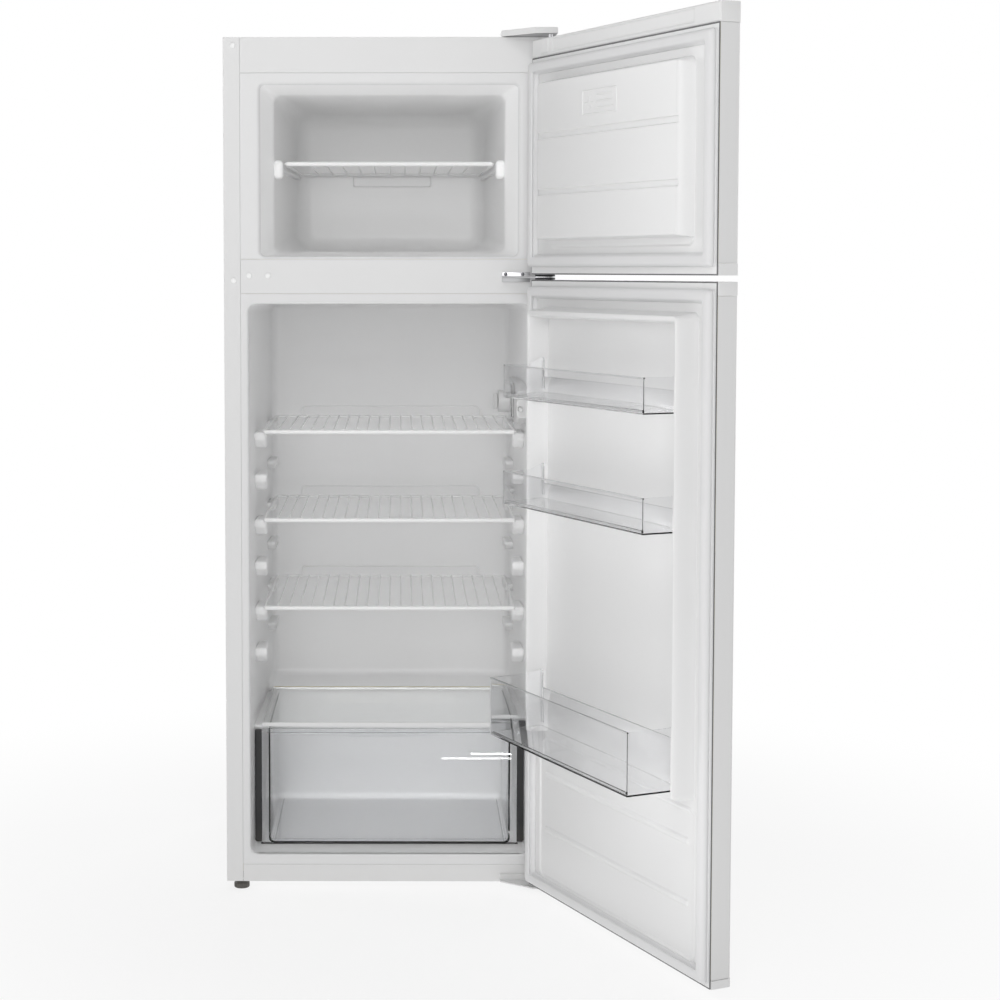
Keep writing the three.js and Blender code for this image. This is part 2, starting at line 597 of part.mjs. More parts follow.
node('door_switch_button', rod(
  'y', [BUTTON_X, controlMiddle], BUTTON_RADIUS, BUTTON_TIP, CONTROL_FRONT + 32, 16,
), whitePlastic);

// ---------------------------------------------------------------- shelves
// A wire shelf as a plate with a slot between each two wires; its rods are a little wider.
function wireShelf({ front, back, level, count, frontHalf, backHalf, fence }) {
  const outline = [[-frontHalf, front], [frontHalf, front], [backHalf, back], [-backHalf, back]];
  const slots = [];
  const pitch = 2 * (backHalf - SHELF_THICK) / (count + 1);
  for (let i = 0; i <= count; i += 1) {
    const x = -backHalf + SHELF_THICK + i * pitch;
    slots.push(box([x + 1.5, x + pitch - 1.5], [front + 9, back - 6], [level - 5, level + 20]));
  }
  const pieces = [cut(plate(outline, level, level + SHELF_THICK), slots)];
  if (fence) {
    pieces.push(cut(
      box([-fence, fence], [back - 5, back - 1], [level + 2, level + 24]),
      box([-fence + 4, fence - 4], [back - 8, back + 2], [level + SHELF_THICK, level + 20]),
    ));
  }
  return join(pieces);
}
const freezerShelfBack = 440;
node('freezer_wire_shelf', wireShelf({
  front: THROAT_DEPTH + 3, back: freezerShelfBack, level: FREEZER_SHELF_LEVEL, count: FREEZER_WIRES,
  frontHalf: freezerWallAt(THROAT_DEPTH) - 7, backHalf: freezerWallAt(freezerShelfBack) - 6,
}), whiteWire);
['top', 'middle', 'lower'].forEach((place, i) => node(`wire_shelf_${place}`, wireShelf({
  front: SHELF_FRONT, back: SHELF_BACK, level: shelfLevels[i], count: SHELF_WIRES,
  frontHalf: SHELF_HALF, backHalf: SHELF_HALF, fence: 165,
}), whiteWire));

// The glass over the crisper, held in a moulded frame.
const coverBack = STEP_FRONT - 2;
const COVER_EDGE = 9;
const COVER_LIP = 1.8;
node('crisper_cover_trim', cut(
  box([-COVER_HALF, COVER_HALF], [SHELF_FRONT - 3, coverBack], [COVER_BASE, COVER_BASE + COVER_THICK]),
  box(
    [-COVER_HALF + COVER_EDGE, COVER_HALF - COVER_EDGE],
    [SHELF_FRONT - 3 + COVER_EDGE, coverBack - COVER_EDGE],
    [COVER_BASE - 1, COVER_BASE + COVER_THICK + 1],
  ),
  box(
    [-COVER_HALF + COVER_LIP, COVER_HALF - COVER_LIP], [SHELF_FRONT - 3 + COVER_LIP, coverBack - COVER_LIP],
    [COVER_BASE + 2, COVER_BASE + COVER_THICK + 1],
  ),
), whitePlastic);
const coverGlassIn = COVER_LIP + GAP;
node('crisper_cover_glass', box(
  [-COVER_HALF + coverGlassIn, COVER_HALF - coverGlassIn],
  [SHELF_FRONT - 3 + coverGlassIn, coverBack - coverGlassIn],
  [COVER_BASE + 2 + GAP, COVER_BASE + 6],
), glass);

// The crisper: a wide front and a narrower box that passes between the ledges.
function crisperDrawer() {
  const plateOutline = { x: [-COVER_HALF, COVER_HALF], z: [DRAWER_BASE, DRAWER_TOP], radius: 5 };
  const front = loft([
    { ...plateOutline, y: DRAWER_FRONT }, { ...plateOutline, y: DRAWER_FRONT + DRAWER_WALL },
  ], 3);
  const bodyHalf = SHELF_HALF - LEDGE_REACH - 3;
  const back = DRAWER_FRONT + DRAWER_DEPTH;
  const tub = (by) => loft([
    {
      x: [-bodyHalf + by, bodyHalf - by], z: [DRAWER_BASE + by, DRAWER_TOP + 30], radius: 8,
      y: DRAWER_FRONT + (by ? DRAWER_WALL : 0),
    },
    { x: [-bodyHalf + by, bodyHalf - by], z: [DRAWER_BASE + by, DRAWER_TOP + 30], radius: 8, y: back - by },
  ], 3);
  const above = box([-HALF, HALF], [0, CABINET_DEPTH], [DRAWER_TOP, DRAWER_TOP + 80]);
  const dip = box([-120, 120], [back - 10, back + 10], [DRAWER_TOP - 22, DRAWER_TOP + 1]);
  return cut(join(front, cut(tub(0), above)), tub(DRAWER_WALL), above, dip);
}
node('crisper_drawer', crisperDrawer(), clearPlastic);

// ---------------------------------------------------------------- doors
// Door pieces are drawn with the door shut: u runs from the hinge edge, w into the cabinet from the
// door's inner plane. Each door's group then turns them about the hinge pins to where the door stands.
const doorX = (u) => HALF - u;
const doorY = (w) => w - DOOR_GAP;

function doorBox([u0, u1], [w0, w1], z) {
  return box([doorX(u1), doorX(u0)], [doorY(w0), doorY(w1)], z);
}

function doorLoft(sections, steps) {
  const placed = sections.map(({ u, w, ...rest }) => ({
    x: [doorX(u[1]), doorX(u[0])], y: doorY(w), ...rest,
  }));
  return loft(placed, steps);
}

function doorOutline(inset, back) {
  const front = -DOOR_THICK + inset;
  const round = 5;
  const points = [[WIDTH - inset, back], [inset, back]];
  for (const [u, turn] of [[inset + round, 0], [WIDTH - inset - round, 1]]) {
    for (let i = 0; i <= 4; i += 1) {
      const angle = (turn + i / 4) * Math.PI / 2;
      points.push([u - round * Math.cos(angle), front + round - round * Math.sin(angle)]);
    }
  }
  return points.map(([u, w]) => [doorX(u), doorY(w)]);
}

function doorGroup() {
  const group = new THREE.Group();
  group.position.set(PIVOT.x, PIVOT.y, 0);
  group.rotation.z = THREE.MathUtils.degToRad(DOOR_OPEN);
  const shut = new THREE.Group();
  shut.position.set(-PIVOT.x, -PIVOT.y, 0);
  group.add(shut);
  refrigerator.add(group);
  return shut;
}

function gasket(door, topEdge, bottomEdge) {
  const face = DOOR_GAP - SEAL_GAP;
  const [near, far] = [GASKET_EDGE, GASKET_EDGE + GASKET_TAPER];
  const section = (by, w) => ({
    u: [by, WIDTH - by], z: [door.base + bottomEdge + by - near, door.top - topEdge - by + near],
    radius: 3, w,
  });
  const outer = doorLoft([section(near, GAP), section(far, face)], 2);
  const inner = doorLoft([
    section(near + GASKET_WIDTH + 1, -1), section(near + GASKET_WIDTH - 3, face + 1),
  ], 2);
  return cut(outer, inner);
}

function pinHole(z0, z1) {
  return rod('z', [PIVOT.x, PIVOT.y], PIN_RADIUS + RUN_GAP, z0, z1);
}

function doorShell(name, door, raised, gasketEdges, group) {
  const skinBase = door.base + door.bottomCap + GAP;
  const skinTop = door.top - door.topCap - GAP;
  const skinBack = -LINER - GAP;
  node(`${name}_skin`, cut(
    plate(doorOutline(0, skinBack), skinBase, skinTop),
    plate(doorOutline(SKIN, 5), skinBase - 1, skinTop + 1),
  ), paint, group);
  const foamIn = SKIN + GAP;
  node(`${name}_foam`, plate(doorOutline(foamIn, skinBack), skinBase, skinTop), foam, group);
  const capBack = -LINER - GAP;
  const cap = (z0, z1, hole) => {
    const outline = doorOutline(0, capBack).map(([x, y]) => [x * (1 + CAP_PROUD / HALF), y]);
    return cut(plate(outline, z0, z1), hole);
  };
  node(`${name}_top_cap`, cap(
    door.top - door.topCap, door.top, pinHole(door.top - PIN_LENGTH - 2, door.top + 1),
  ), whitePlastic, group);
  node(`${name}_bottom_cap`, cap(
    door.base, door.base + door.bottomCap,
    pinHole(door.base - 1, door.base + Math.min(PIN_LENGTH + 2, door.bottomCap)),
  ), whitePlastic, group);
  const sheet = doorBox([2, WIDTH - 2], [-LINER, 0], [door.base + 2, door.top - 2]);
  node(`${name}_liner`, cut(join(sheet, raised(0)), raised(LINER)), linerPlastic, group);
  node(`${name}_gasket`, gasket(door, ...gasketEdges), gasketRubber, group);
}

// The freezer door's moulded plug with its two grooves.
const PLUG = {
  base: FREEZER_BASE + 11.3, top: FREEZER_TOP - 3.7, crest: 25,
  hinge: [FREEZER_WALL + 2, FREEZER_WALL + 9], free: [WIDTH - FREEZER_WALL, WIDTH - FREEZER_WALL - 12],
};
function freezerPlug(by) {
  const plug = doorLoft([
    {
      u: [PLUG.hinge[0] + by, PLUG.free[0] - by], z: [PLUG.base + by, PLUG.top - by], radius: 12,
      w: by ? -LINER - 1 : -LINER,
    },
    {
      u: [PLUG.hinge[1] + by, PLUG.free[1] - by], z: [PLUG.base + 6 + by, PLUG.top - 6 - by], radius: 10,
      w: PLUG.crest - by,
    },
  ], 3);
  if (by) return plug;
  const grooves = [1, 2].map((third) => {
    const z = PLUG.base + (PLUG.top - PLUG.base) * third / 3;
    return doorBox(
      [PLUG.hinge[0] - 10, PLUG.free[1] - 8], [PLUG.crest - 1, PLUG.crest + 5], [z - 5, z + 5],
    );
  });
  return cut(plug, grooves);
}

// The fridge door's frame of ribs: two uprights and a top lip round the bins.
const RIBS = {
  hinge: [FRIDGE_WALL + 8, FRIDGE_WALL + 8 + RIB_WIDTH],
  free: [WIDTH - FRIDGE_WALL - 18, WIDTH - FRIDGE_WALL - 12],
  top: [FRIDGE_TOP - 19.5, FRIDGE_TOP - 10.5], base: COVER_BASE + 21, slope: 7,
};
const BIN_HINGE_U = RIBS.hinge[1] + BIN_GAP;
const BIN_FREE_U = RIBS.free[0] - BIN_GAP;
function fridgeRibs(by) {
  const start = by ? -LINER - 1 : -LINER;
  const rib = (u, z) => doorLoft([
    { u: [u[0] - 3 + by, u[1] - by], z: [z[0] + by, z[1] - by], radius: 3, w: start },
    { u: [u[0] + by, u[1] - by], z: [z[0] + 4 + by, z[1] - by], radius: 3, w: RIB_HEIGHT - by },
  ], 2);
  return join(
    rib(RIBS.hinge, [RIBS.base, RIBS.top[1]]),
    doorLoft([
      {
        u: [RIBS.free[0] + by, RIBS.free[1] + RIBS.slope - by], z: [RIBS.base + by, RIBS.top[1] - by],
        radius: 3, w: start,
      },
      {
        u: [RIBS.free[0] + by, RIBS.free[1] - by], z: [RIBS.base + 4 + by, RIBS.top[1] - by], radius: 3,
        w: RIB_HEIGHT - by,
      },
    ], 2),
    doorLoft([
      {
        u: [RIBS.hinge[0] + by, RIBS.free[1] - by],
        z: [RIBS.top[0] + by, RIBS.top[1] + RIBS.slope - by], radius: 3, w: start,
      },
      {
        u: [RIBS.hinge[0] + by, RIBS.free[1] - by], z: [RIBS.top[0] + by, RIBS.top[1] - by], radius: 3,
        w: RIB_HEIGHT - by,
      },
    ], 2),
  );
}

const freezerDoor = doorGroup();
doorShell('freezer_door', FREEZER_DOOR, freezerPlug, [36, 12], freezerDoor);
const fridgeDoor = doorGroup();

function binOf(base, height, rear, reach) {
  return { base, top: base + height, rear: base + rear, reach };
}
const BINS = {
  door_bin_top: binOf(TOP_SHELF_LEVEL + 73, 52, 62, SHALLOW_REACH),
  door_bin_middle: binOf(TOP_SHELF_LEVEL - SHELF_PITCH + 53.5, 52, 62, SHALLOW_REACH),
  door_bin_bottle: binOf(COVER_BASE + 32, 92, 98, BOTTLE_REACH),
};
const LUG = 5;
function binLugs() {
  return Object.values(BINS).flatMap(({ base }) => [
    doorBox([RIBS.hinge[1] - 1, BIN_HINGE_U + LUG], [BIN_BACK + 2, RIB_HEIGHT - 6], [base - 6, base - GAP]),
    doorBox([BIN_FREE_U - LUG, RIBS.free[0] + 2], [BIN_BACK + 2, RIB_HEIGHT - 6], [base - 6, base - GAP]),
  ]);
}
const fridgeRaised = (by) => (by ? fridgeRibs(by) : join(fridgeRibs(0), binLugs()));
doorShell('fridge_door', FRIDGE_DOOR, fridgeRaised, [10, 6.5], fridgeDoor);

// A bin: low front, higher sides towards the door, open at the top.
function doorBin({ base, top, rear, reach }) {
  const outline = [[BIN_BACK, base], [reach, base], [reach, top], [BIN_BACK + 22, top], [BIN_BACK, rear]];
  const side = outline.map(([w, z]) => [doorY(w), z]);
  const whole = profile(side, doorX(BIN_FREE_U), doorX(BIN_HINGE_U));
  const inside = doorBox(
    [BIN_HINGE_U + BIN_WALL, BIN_FREE_U - BIN_WALL], [BIN_BACK + BIN_WALL, reach - BIN_WALL],
    [base + BIN_WALL, rear + 10],
  );
  const low = doorBox(
    [BIN_HINGE_U + 4 * BIN_WALL, BIN_FREE_U - 4 * BIN_WALL], [BIN_BACK - 5, BIN_BACK + BIN_WALL + 1],
    [top - 22, rear + 10],
  );
  return cut(whole, inside, low);
}
for (const [name, bin] of Object.entries(BINS)) node(name, doorBin(bin), clearPlastic, fridgeDoor);

// ---------------------------------------------------------------- origin at the middle of the base
const bounds = new THREE.Box3().setFromObject(refrigerator, true);
const middle = bounds.getCenter(new THREE.Vector3());
refrigerator.position.set(-middle.x, -middle.y, -bounds.min.z);

export default refrigerator;
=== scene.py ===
import json
import math

import bmesh
import bpy
from mathutils import Matrix, Vector


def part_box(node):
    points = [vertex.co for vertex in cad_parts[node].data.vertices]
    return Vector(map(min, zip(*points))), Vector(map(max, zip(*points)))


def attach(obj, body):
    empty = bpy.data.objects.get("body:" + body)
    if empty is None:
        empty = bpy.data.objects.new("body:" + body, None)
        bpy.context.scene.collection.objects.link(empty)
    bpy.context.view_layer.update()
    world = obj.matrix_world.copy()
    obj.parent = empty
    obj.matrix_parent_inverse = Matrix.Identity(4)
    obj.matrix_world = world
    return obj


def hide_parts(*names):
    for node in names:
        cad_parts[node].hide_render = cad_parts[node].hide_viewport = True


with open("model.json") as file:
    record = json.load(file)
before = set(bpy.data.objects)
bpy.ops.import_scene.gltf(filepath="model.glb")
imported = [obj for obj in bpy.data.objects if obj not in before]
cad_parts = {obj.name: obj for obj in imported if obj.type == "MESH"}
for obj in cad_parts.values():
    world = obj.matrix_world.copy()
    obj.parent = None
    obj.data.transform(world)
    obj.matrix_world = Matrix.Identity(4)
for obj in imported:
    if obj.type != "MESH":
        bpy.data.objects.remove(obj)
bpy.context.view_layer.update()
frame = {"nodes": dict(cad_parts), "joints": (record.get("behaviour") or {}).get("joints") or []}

MM = 0.001


# ------------------------------------------------------------------ places taken from the frame
def levels_of(node):
    """A node's lowest and highest level, in millimetres above the floor."""
    low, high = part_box(node)
    return round(low.z / MM, 2), round(high.z / MM, 2)


def back_middle(node):
    """The middle of a node's back face."""
    low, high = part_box(node)
    return Vector(((low.x + high.x) / 2, high.y, (low.z + high.z) / 2))


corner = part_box("left_side_panel")[0]
X_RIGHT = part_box("right_side_panel")[1].x
CENTRE = (corner.x + X_RIGHT) / 2
FRONT = corner.y
BACK_AT = (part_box("rear_panel")[1].y - FRONT) / MM

hinge = next(joint for joint in frame["joints"] if joint["name"] == "fridge_door_hinge")
PIVOT = Vector(hinge["pos_m"])
PIVOT_FOOT = Vector((PIVOT.x, PIVOT.y, 0))
OPEN_ANGLE = -math.radians(hinge["range_deg"][0])
DOOR_GAP = 12.5  # millimetres from the cabinet's front to a shut door's inner plane
DOOR_WIDTH = round((X_RIGHT - corner.x) / MM, 2)
DOOR_LEVELS = {
    door: (levels_of(f"{door}_bottom_cap")[0], levels_of(f"{door}_top_cap")[1])
    for door in ("freezer_door", "fridge_door")
}
OPENED = Matrix.Translation(PIVOT) @ Matrix.Rotation(OPEN_ANGLE, 4, "Z") @ Matrix.Translation(-PIVOT)
SHUT = OPENED.inverted()


# ------------------------------------------------------------------ meshes
def smooth(mesh, angle=35):
    """Round faces shade smoothly, and edges sharper than the angle stay crisp."""
    mesh.polygons.foreach_set("use_smooth", [True] * len(mesh.polygons))
    mesh.set_sharp_from_angle(angle=math.radians(angle))


def new_object(name, mesh):
    """An object in the scene that holds the given mesh or camera."""
    piece = bpy.data.objects.new(name, mesh)
    bpy.context.scene.collection.objects.link(piece)
    return piece


def mesh_piece(name, points, faces, angle=35, merge=0.00002):
    """A piece from points and faces, with its doubles merged and its faces turned outwards."""
    mesh = bpy.data.meshes.new(name)
    mesh.from_pydata([tuple(p) for p in points], [], faces)
    grid = bmesh.new()
    grid.from_mesh(mesh)
    bmesh.ops.remove_doubles(grid, verts=grid.verts, dist=merge)
    bmesh.ops.recalc_face_normals(grid, faces=grid.faces)
    grid.to_mesh(mesh)
    grid.free()
    smooth(mesh, angle)
    return new_object(name, mesh)


def join_pieces(name, pieces):
    """One piece holding the meshes of several; what was joined is removed."""
    whole = bmesh.new()
    materials = []
    for piece in pieces:
        slots = []
        for material in piece.data.materials:
            if material not in materials:
                materials.append(material)
            slots.append(materials.index(material))
        start = len(whole.faces)
        whole.from_mesh(piece.data)
        whole.faces.ensure_lookup_table()
        for face in whole.faces[start:]:
            face.material_index = slots[face.material_index] if slots else 0
    mesh = bpy.data.meshes.new(name)
    whole.to_mesh(mesh)
    whole.free()
    for material in materials:
        mesh.materials.append(material)
    for piece in pieces:
        bpy.data.objects.remove(piece)
    return new_object(name, mesh)


def settled(piece, name=None, angle=38):
    """The piece with its modifiers worked into a plain mesh, smooth up to an angle."""
    bpy.context.view_layer.update()
    graph = bpy.context.evaluated_depsgraph_get()
    mesh = bpy.data.meshes.new_from_object(piece.evaluated_get(graph))
    name = name or piece.name
    bpy.data.objects.remove(piece)
    mesh.name = name
    smooth(mesh, angle)
    return new_object(name, mesh)


def bevel(piece, width, segments=3, angle=30, flat=False):
    """Soft edges; flat keeps the broad faces between them shading as flat sheets."""
    edge = piece.modifiers.new("soft_edges", "BEVEL")
    edge.width = width
    edge.segments = segments
    edge.limit_method = "ANGLE"
    edge.angle_limit = math.radians(angle)
    edge.use_clamp_overlap = True
    edge.harden_normals = flat
    return piece


def wall(piece, thickness, offset=-1):
    """Gives a sheet its thickness, outwards or inwards."""
    shell = piece.modifiers.new("wall", "SOLIDIFY")
    shell.thickness = thickness
    shell.offset = offset
    return piece


def painted(piece, material):
    """The piece in one material."""
    piece.data.materials.clear()
    piece.data.materials.append(material)
    return piece


def finish_piece(piece, body, slot, material, *nodes):
    """Gives a piece its material and the body it moves with, and hides the nodes it stands for; slot is not
    used.
    """
    if material:
        painted(piece, material)
    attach(piece, body)
    if nodes:
        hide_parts(*nodes)
    return piece


def from_cad(node, name=None):
    """A merged copy of a CAD node's mesh, with the flat faces made whole again."""
    mesh = frame["nodes"][node].data.copy()
    grid = bmesh.new()
    grid.from_mesh(mesh)
    bmesh.ops.remove_doubles(grid, verts=grid.verts, dist=0.00001)
    bmesh.ops.dissolve_limit(grid, angle_limit=math.radians(1), verts=grid.verts, edges=grid.edges)
    grid.to_mesh(mesh)
    grid.free()
    mesh.materials.clear()
    smooth(mesh)
    return new_object(name or f"{node}_finished", mesh)


def softened(node, body, slot, material, width=0.6 * MM, segments=3):
    """The CAD node's own shape with soft edges."""
    piece = bevel(from_cad(node), width, segments, flat=True)
    return finish_piece(piece, body, slot, material, node)


def rounded(x, z, radius, y, steps=8):
    """Points round an upright rectangle with round corners, at one depth."""
    points = []
    radius = max(min(radius, (x[1] - x[0]) / 2, (z[1] - z[0]) / 2), 0.00001)
    corners = ((x[1], z[1], -1, -1), (x[0], z[1], 1, -1), (x[0], z[0], 1, 1), (x[1], z[0], -1, 1))
    for quarter, (cx, cz, in_x, in_z) in enumerate(corners):
        middle = Vector((cx + in_x * radius, y, cz + in_z * radius))
        for i in range(steps + 1):
            angle = (quarter + i / steps) * math.pi / 2
            points.append(middle + Vector((radius * math.cos(angle), 0, radius * math.sin(angle))))
    return points


def skin_rings(name, rings, close_start=False, close_end=False, loop=False, angle=35):
    """A skin through rings of equally many points."""
    count = len(rings[0])
    points = [p for ring in rings for p in ring]
    faces = []
    spans = len(rings) if loop else len(rings) - 1
    for r in range(spans):
        here, there = r * count, (r + 1) % len(rings) * count
        for i in range(count):
            j = (i + 1) % count
            faces.append((here + i, here + j, there + j, there + i))
    if close_start:
        faces.append(tuple(range(count)))
    if close_end:
        faces.append(tuple(range((len(rings) - 1) * count, len(rings) * count)))
    return mesh_piece(name, points, faces, angle)


def shrunk(x, z, radius, inset, y, steps=8):
    """The same rectangle drawn in by an inset all round."""
    across = (x[0] + inset, x[1] - inset)
    upright = (z[0] + inset, z[1] - inset)
    return rounded(across, upright, max(radius - inset, 0.4 * MM), y, steps)


def quarter_turn(steps):
    """Sine and cosine of a quarter turn in equal steps, for a rounded edge."""
    return [(math.sin(a), math.cos(a)) for a in (i / steps * math.pi / 2 for i in range(steps + 1))]


def block(name, low, high, radius, steps=4):
    """A solid with every edge rounded."""
    x, z = (low.x, high.x), (low.z, high.z)
    turns = quarter_turn(steps)
    rings = []
    for sine, cosine in turns:
        rings.append(shrunk(x, z, radius, radius * (1 - sine), low.y + radius * (1 - cosine)))
    for sine, cosine in reversed(turns):
        rings.append(shrunk(x, z, radius, radius * (1 - sine), high.y - radius * (1 - cosine)))
    return skin_rings(name, rings, True, True)


def turned(name, outline, centre, axis="Z", sides=48, angle=35):
    """A turned piece: radii and heights in millimetres, spun about an axis through a centre."""
    spin = {
        "Z": Matrix.Identity(4),
        "Y": Matrix.Rotation(math.pi / 2, 4, "X"),
        "X": Matrix.Rotation(math.pi / 2, 4, "Y"),
    }
    place = Matrix.Translation(centre) @ spin[axis]
    rings = []
    for radius, height in outline:
        radius = max(radius * MM, 0.00002)
        ring = []
        for i in range(sides):
            turn = 2 * math.pi * i / sides
            ring.append(place @ Vector((radius * math.cos(turn), radius * math.sin(turn), height * MM)))
        rings.append(ring)
    return skin_rings(name, rings, True, True, angle=angle)


def grid_sheet(name, us, zs, place, height, angle=40):
    """A formed sheet: a grid of lines whose height is a rule."""
    points = [place(u, height(u, z), z) for z in zs for u in us]
    row = len(us)
    faces = []
    for k in range(len(zs) - 1):
        for i in range(row - 1):
            faces.append((k * row + i, k * row + i + 1, (k + 1) * row + i + 1, (k + 1) * row + i))
    mesh = bpy.data.meshes.new(name)
    mesh.from_pydata([tuple(p) for p in points], [], faces)
    smooth(mesh, angle)
    return new_object(name, mesh)


def ease(value, start, end):
    """0 before start and 1 after end, turning softly at both."""
    t = min(max((value - start) / (end - start), 0), 1)
    return t * t * (3 - 2 * t)


def in_steps(start, end, coarse, dense):
    """Grid lines in millimetres: a millimetre apart near the given places and coarse elsewhere."""
    lines = [float(start)]
    while lines[-1] < end - 0.01:
        near = min((abs(lines[-1] - d) - reach for d, reach in dense), default=1e9)
        lines.append(lines[-1] + (1.0 if near < 0 else min(coarse, max(1.0, near * 0.5))))
    lines[-1] = float(end)
    return lines


def inside_distance(u, z, box_u, box_z, radius):
    """How far a point lies inside a rectangle with round corners; negative outside."""
    du = abs(u - (box_u[0] + box_u[1]) / 2) - (box_u[1] - box_u[0]) / 2 + radius
    dz = abs(z - (box_z[0] + box_z[1]) / 2) - (box_z[1] - box_z[0]) / 2 + radius
    outside = math.hypot(max(du, 0), max(dz, 0)) + min(max(du, dz), 0)
    return radius - outside


# ------------------------------------------------------------------ geometry node trees
class Tree:
    """A geometry node tree with named inputs."""

    def __init__(self, name, inputs):
        self.tree = bpy.data.node_groups.new(name, "GeometryNodeTree")
        self.tree.interface.new_socket("Geometry", in_out="OUTPUT", socket_type="NodeSocketGeometry")
        self.tree.interface.new_socket("Geometry", in_out="INPUT", socket_type="NodeSocketGeometry")
        for label, kind in inputs.items():
            self.tree.interface.new_socket(label, in_out="INPUT", socket_type=f"NodeSocket{kind}")
        self.input = self.tree.nodes.new("NodeGroupInput")
        self.output = self.tree.nodes.new("NodeGroupOutput")

    def node(self, kind, **settings):
        made = self.tree.nodes.new(kind)
        for key, value in settings.items():
            setattr(made, key, value)
        return made

    def link(self, start, end):
        self.tree.links.new(start, end)

    def asks(self, label):
        return self.input.outputs[label]

    def tube(self, curve, sides=None):
        """A capped round tube along a curve, as thick as Radius says."""
        self.section = self.node("GeometryNodeCurvePrimitiveCircle")
        self.link(self.asks("Radius"), self.section.inputs["Radius"])
        if sides:
            self.section.inputs["Resolution"].default_value = sides
        tube = self.node("GeometryNodeCurveToMesh")
        tube.inputs["Fill Caps"].default_value = True
        self.link(curve, tube.inputs["Curve"])
        self.link(self.section.outputs[0], tube.inputs["Profile Curve"])
        return tube.outputs[0]

    def rod(self, sides=None):
        """A straight rod that reaches as far as Rod says."""
        line = self.node("GeometryNodeCurvePrimitiveLine")
        self.link(self.asks("Rod"), line.inputs["End"])
        return self.tube(line.outputs[0], sides)

    def copies(self, points, piece):
        """A copy of the piece on each point."""
        made = self.node("GeometryNodeInstanceOnPoints")
        self.link(points, made.inputs["Points"])
        self.link(piece, made.inputs["Instance"])
        return made

    def ends(self, geometry):
        """Closes the tree with its result in one material."""
        real = self.node("GeometryNodeRealizeInstances")
        coat = self.node("GeometryNodeSetMaterial")
        self.link(geometry, real.inputs[0])
        self.link(real.outputs[0], coat.inputs["Geometry"])
        self.link(self.asks("Material"), coat.inputs["Material"])
        self.link(coat.outputs[0], self.output.inputs[0])
        return self.tree


def grown_from(tree, name, points, edges=(), **values):
    """The plain mesh that a tree grows from a few points and edges, or from none."""
    mesh = bpy.data.meshes.new(name)
    mesh.from_pydata([tuple(p) for p in points], edges, [])
    host = new_object(name, mesh)
    made = host.modifiers.new("grown", "NODES")
    made.node_group = tree
    sockets = {s.name: s.identifier for s in tree.interface.items_tree if s.in_out == "INPUT"}
    for label, value in values.items():
        made[sockets[label]] = value
    piece = settled(host, name)
    smooth(piece.data)
    return piece


def rod_row_tree():
    """A row of equal rods: the first from Start along Rod, each next one a Step further."""
    t = Tree("rod_row", {
        "Count": "Int", "Start": "Vector", "Step": "Vector", "Rod": "Vector", "Radius": "Float",
        "Sides": "Int", "Material": "Material",
    })
    line = t.node("GeometryNodeMeshLine", mode="OFFSET")
    t.link(t.asks("Count"), line.inputs["Count"])
    t.link(t.asks("Start"), line.inputs["Start Location"])
    t.link(t.asks("Step"), line.inputs["Offset"])
    rod = t.rod()
    t.link(t.asks("Sides"), t.section.inputs["Resolution"])
    return t.ends(t.copies(line.outputs[0], rod).outputs[0])


def placed_tree():
    """A copy of one small piece on each point."""
    t = Tree("placed", {"Piece": "Object", "Turn": "Vector", "Material": "Material"})
    info = t.node("GeometryNodeObjectInfo")
    t.link(t.asks("Piece"), info.inputs["Object"])
    copies = t.copies(t.asks("Geometry"), info.outputs["Geometry"])
    t.link(t.asks("Turn"), copies.inputs["Rotation"])
    return t.ends(copies.outputs[0])


def rib_ring_tree():
    """Grip ribs round a knob or foot: short rods standing on a circle."""
    t = Tree("rib_ring", {
        "Count": "Int", "Ring": "Float", "Radius": "Float", "Rod": "Vector", "Centre": "Vector",
        "Turn": "Vector", "Material": "Material",
    })
    ring = t.node("GeometryNodeMeshCircle")
    t.link(t.asks("Count"), ring.inputs["Vertices"])
    t.link(t.asks("Ring"), ring.inputs["Radius"])
    copies = t.copies(ring.outputs[0], t.rod(8))
    place = t.node("GeometryNodeTransform")
    t.link(copies.outputs[0], place.inputs["Geometry"])
    t.link(t.asks("Centre"), place.inputs["Translation"])
    t.link(t.asks("Turn"), place.inputs["Rotation"])
    return t.ends(place.outputs[0])


def bent_rod_tree():
    """A rod that follows the host's own edges, with its corners rounded."""
    t = Tree("bent_rod", {"Radius": "Float", "Bend": "Float", "Material": "Material"})
    line = t.node("GeometryNodeMeshToCurve")
    t.link(t.asks("Geometry"), line.inputs[0])
    fillet = t.node("GeometryNodeFilletCurve")
    bend_mode = fillet.inputs.get("Mode")
    if bend_mode is not None:
        bend_mode.default_value = "Poly"
    else:
        fillet.mode = "POLY"
    fillet.inputs["Count"].default_value = 6
    t.link(line.outputs[0], fillet.inputs["Curve"])
    t.link(t.asks("Bend"), fillet.inputs["Radius"])
    return t.ends(t.tube(fillet.outputs[0], 12))


ROD_ROW = rod_row_tree()
PLACED = placed_tree()
RIB_RING = rib_ring_tree()
BENT_ROD = bent_rod_tree()


def bent_rod(name, points, radius, bend, material, closed=False):
    """A round rod through the points with its corners bent to a radius."""
    edges = [(i, i + 1) for i in range(len(points) - 1)]
    if closed:
        edges.append((len(points) - 1, 0))
    return grown_from(BENT_ROD, name, points, edges, Radius=radius, Bend=bend, Material=material)


# ------------------------------------------------------------------ places in millimetres
def at(x, y, z):
    """A place in millimetres from the middle of the cabinet's front at the floor."""
    return Vector((CENTRE + x * MM, FRONT + y * MM, z * MM))


def hoop(x, z, radius, y, steps=8):
    """Points round an upright rectangle, in millimetres; one number for x means both sides alike."""
    left, right = x if isinstance(x, tuple) else (-x, x)
    across = (CENTRE + left * MM, CENTRE + right * MM)
    return rounded(across, (z[0] * MM, z[1] * MM), radius * MM, FRONT + y * MM, steps)


